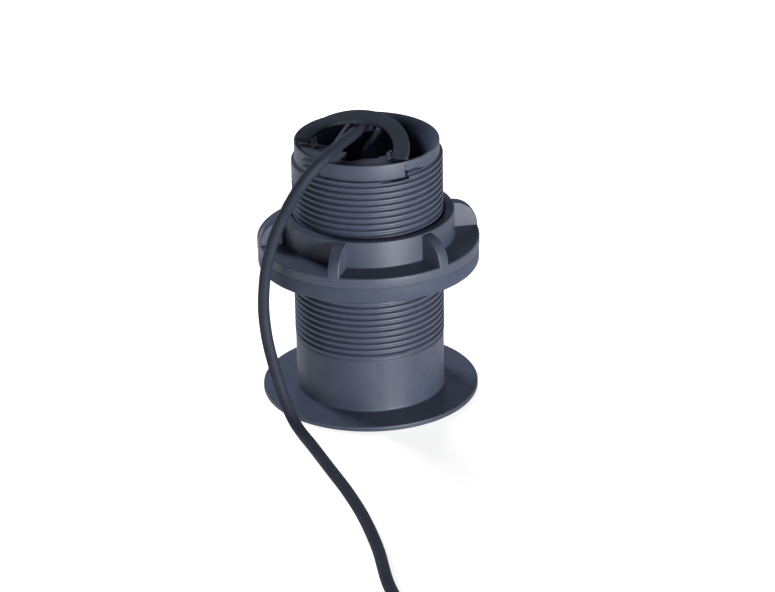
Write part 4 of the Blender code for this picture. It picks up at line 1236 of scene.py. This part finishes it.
@dataclass(frozen=True)
class Lamp:
    """One square soft lamp over the stem's axis, which glossy surfaces mirror if it has sheen."""

    name: str
    place: Triple
    aim_height: float
    power: float
    size: float
    sheen: bool = False

    def hang(self) -> None:
        """Put the lamp in the scene."""
        data = bpy.data.lights.new(self.name, "AREA")
        data.energy, data.size = self.power, self.size
        lamp = new_object(self.name, data)
        lamp.location = self.place
        lamp.visible_glossy = self.sheen
        way = Vector((0.0, 0.0, self.aim_height)) - Vector(self.place)
        lamp.rotation_euler = way.to_track_quat("-Z", "Y").to_euler()


@dataclass
class Studio:
    """The camera at the photograph's angle, the floor, the lamps and the dim surroundings."""

    distance: float = 1.159
    elevation: float = 24.93
    roll: float = 0.874
    aim: Triple = (0.006188, 0.0, 0.033074)
    focal_pixels: float = 3397.0
    width_pixels: float = 775.0
    sensor_width: float = 36.0
    clip: Point = (0.01, 20.0)
    floor_size: float = 6.0
    floor_drop: float = 0.2 * MM
    floor_tone: float = 0.80
    floor_roughness: float = 0.9
    floor_glow: float = 0.80
    floor_sheen: float = 0.08
    sky_sheen: float = 0.03
    sky_level: float = 0.02
    lights: Sequence[Lamp] = (
        Lamp("key", (0.76, -1.18, 0.10), 0.05, power=22.0, size=0.28, sheen=True),
        Lamp("back left", (-0.78, 0.93, 0.70), 0.04, power=21.0, size=0.40),
        Lamp("back", (0.0, 1.24, 0.66), 0.04, power=8.0, size=0.30))

    def camera(self) -> None:
        """Place the camera."""
        up_angle, roll = math.radians(self.elevation), math.radians(self.roll)
        back = Vector((0.0, -math.cos(up_angle), math.sin(up_angle)))
        right = Vector((1.0, 0.0, 0.0))
        up = back.cross(right)
        turned_right = right * math.cos(roll) - up * math.sin(roll)
        turned_up = up * math.cos(roll) + right * math.sin(roll)
        data = bpy.data.cameras.new("camera")
        data.sensor_width = self.sensor_width
        data.lens = self.focal_pixels / self.width_pixels * self.sensor_width
        data.clip_start, data.clip_end = self.clip
        camera = new_object("camera", data)
        place = Vector(self.aim) + back * self.distance
        matrix = Matrix((turned_right, turned_up, back)).transposed().to_4x4()
        camera.matrix_world = Matrix.Translation(place) @ matrix
        bpy.context.scene.camera = camera

    @staticmethod
    def _seen(graph: Graph, sheen: float) -> NodeSocket:
        """Return 1 for what the camera sees, also through glass, and less for what is mirrored.

        Args:
            graph: The graph to work in.
            sheen: The value for what glossy surfaces mirror.

        Returns:
            The value's socket.
        """
        rays = graph.node("ShaderNodeLightPath").outputs
        clear = graph.maths("MAXIMUM", rays["Is Camera Ray"], rays["Is Transmission Ray"])
        mirrored = graph.maths("MULTIPLY", rays["Is Glossy Ray"], sheen)
        return graph.maths("MAXIMUM", clear, mirrored)

    def floor(self) -> None:
        """Lay the pale floor, which looks white to the camera and keeps the shadow."""
        edit = bmesh.new()
        bmesh.ops.create_grid(edit, x_segments=1, y_segments=1, size=self.floor_size)
        mesh = new_mesh("floor", edit)
        floor = new_object("floor", mesh)
        floor.location.z = -self.floor_drop
        material = bpy.data.materials.new("pale floor")
        material.use_nodes = True
        graph = Graph(material.node_tree)
        shader = graph.tree.nodes["Principled BSDF"]
        graph.feed(shader, {"Base Color": (self.floor_tone,) * 3,
                            "Roughness": self.floor_roughness})
        glow = graph.node("ShaderNodeEmission", {"Strength": self.floor_glow})
        dark = graph.node("ShaderNodeEmission", {"Strength": 0.0})
        choice = graph.node("ShaderNodeMixShader", {
            "Fac": self._seen(graph, self.floor_sheen), 1: dark.outputs[0], 2: glow.outputs[0]})
        total = graph.node("ShaderNodeAddShader", {0: shader.outputs[0], 1: choice.outputs[0]})
        graph.feed(graph.tree.nodes["Material Output"], {"Surface": total.outputs[0]})
        mesh.materials.append(material)

    def lamps(self) -> None:
        """Hang a low key lamp in front on the right and two behind, in dim surroundings."""
        for lamp in self.lights:
            lamp.hang()
        world = bpy.data.worlds.new("studio")
        bpy.context.scene.world = world
        world.use_nodes = True
        graph = Graph(world.node_tree)
        level = graph.maths("MAXIMUM", self._seen(graph, self.sky_sheen), self.sky_level)
        graph.feed(graph.tree.nodes["Background"], {"Color": (1.0, 1.0, 1.0), "Strength": level})


def main() -> None:
    """Build the looks in order."""
    logging.basicConfig(level=logging.INFO, format="%(name)s: %(message)s")
    bpy.context.scene.view_settings.view_transform = "Standard"
    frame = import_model()
    studio = Studio()
    studio.camera()
    maker = Maker(FinishMaker())
    Cable(maker).build()
    Stem(maker).build()
    HullNut(maker).build()
    InsertHead(maker).build()
    PullRing(maker).build()
    InnerParts(maker, frame["nodes"]).build()
    studio.floor()
    studio.lamps()


if __name__ == "__main__":
    main()
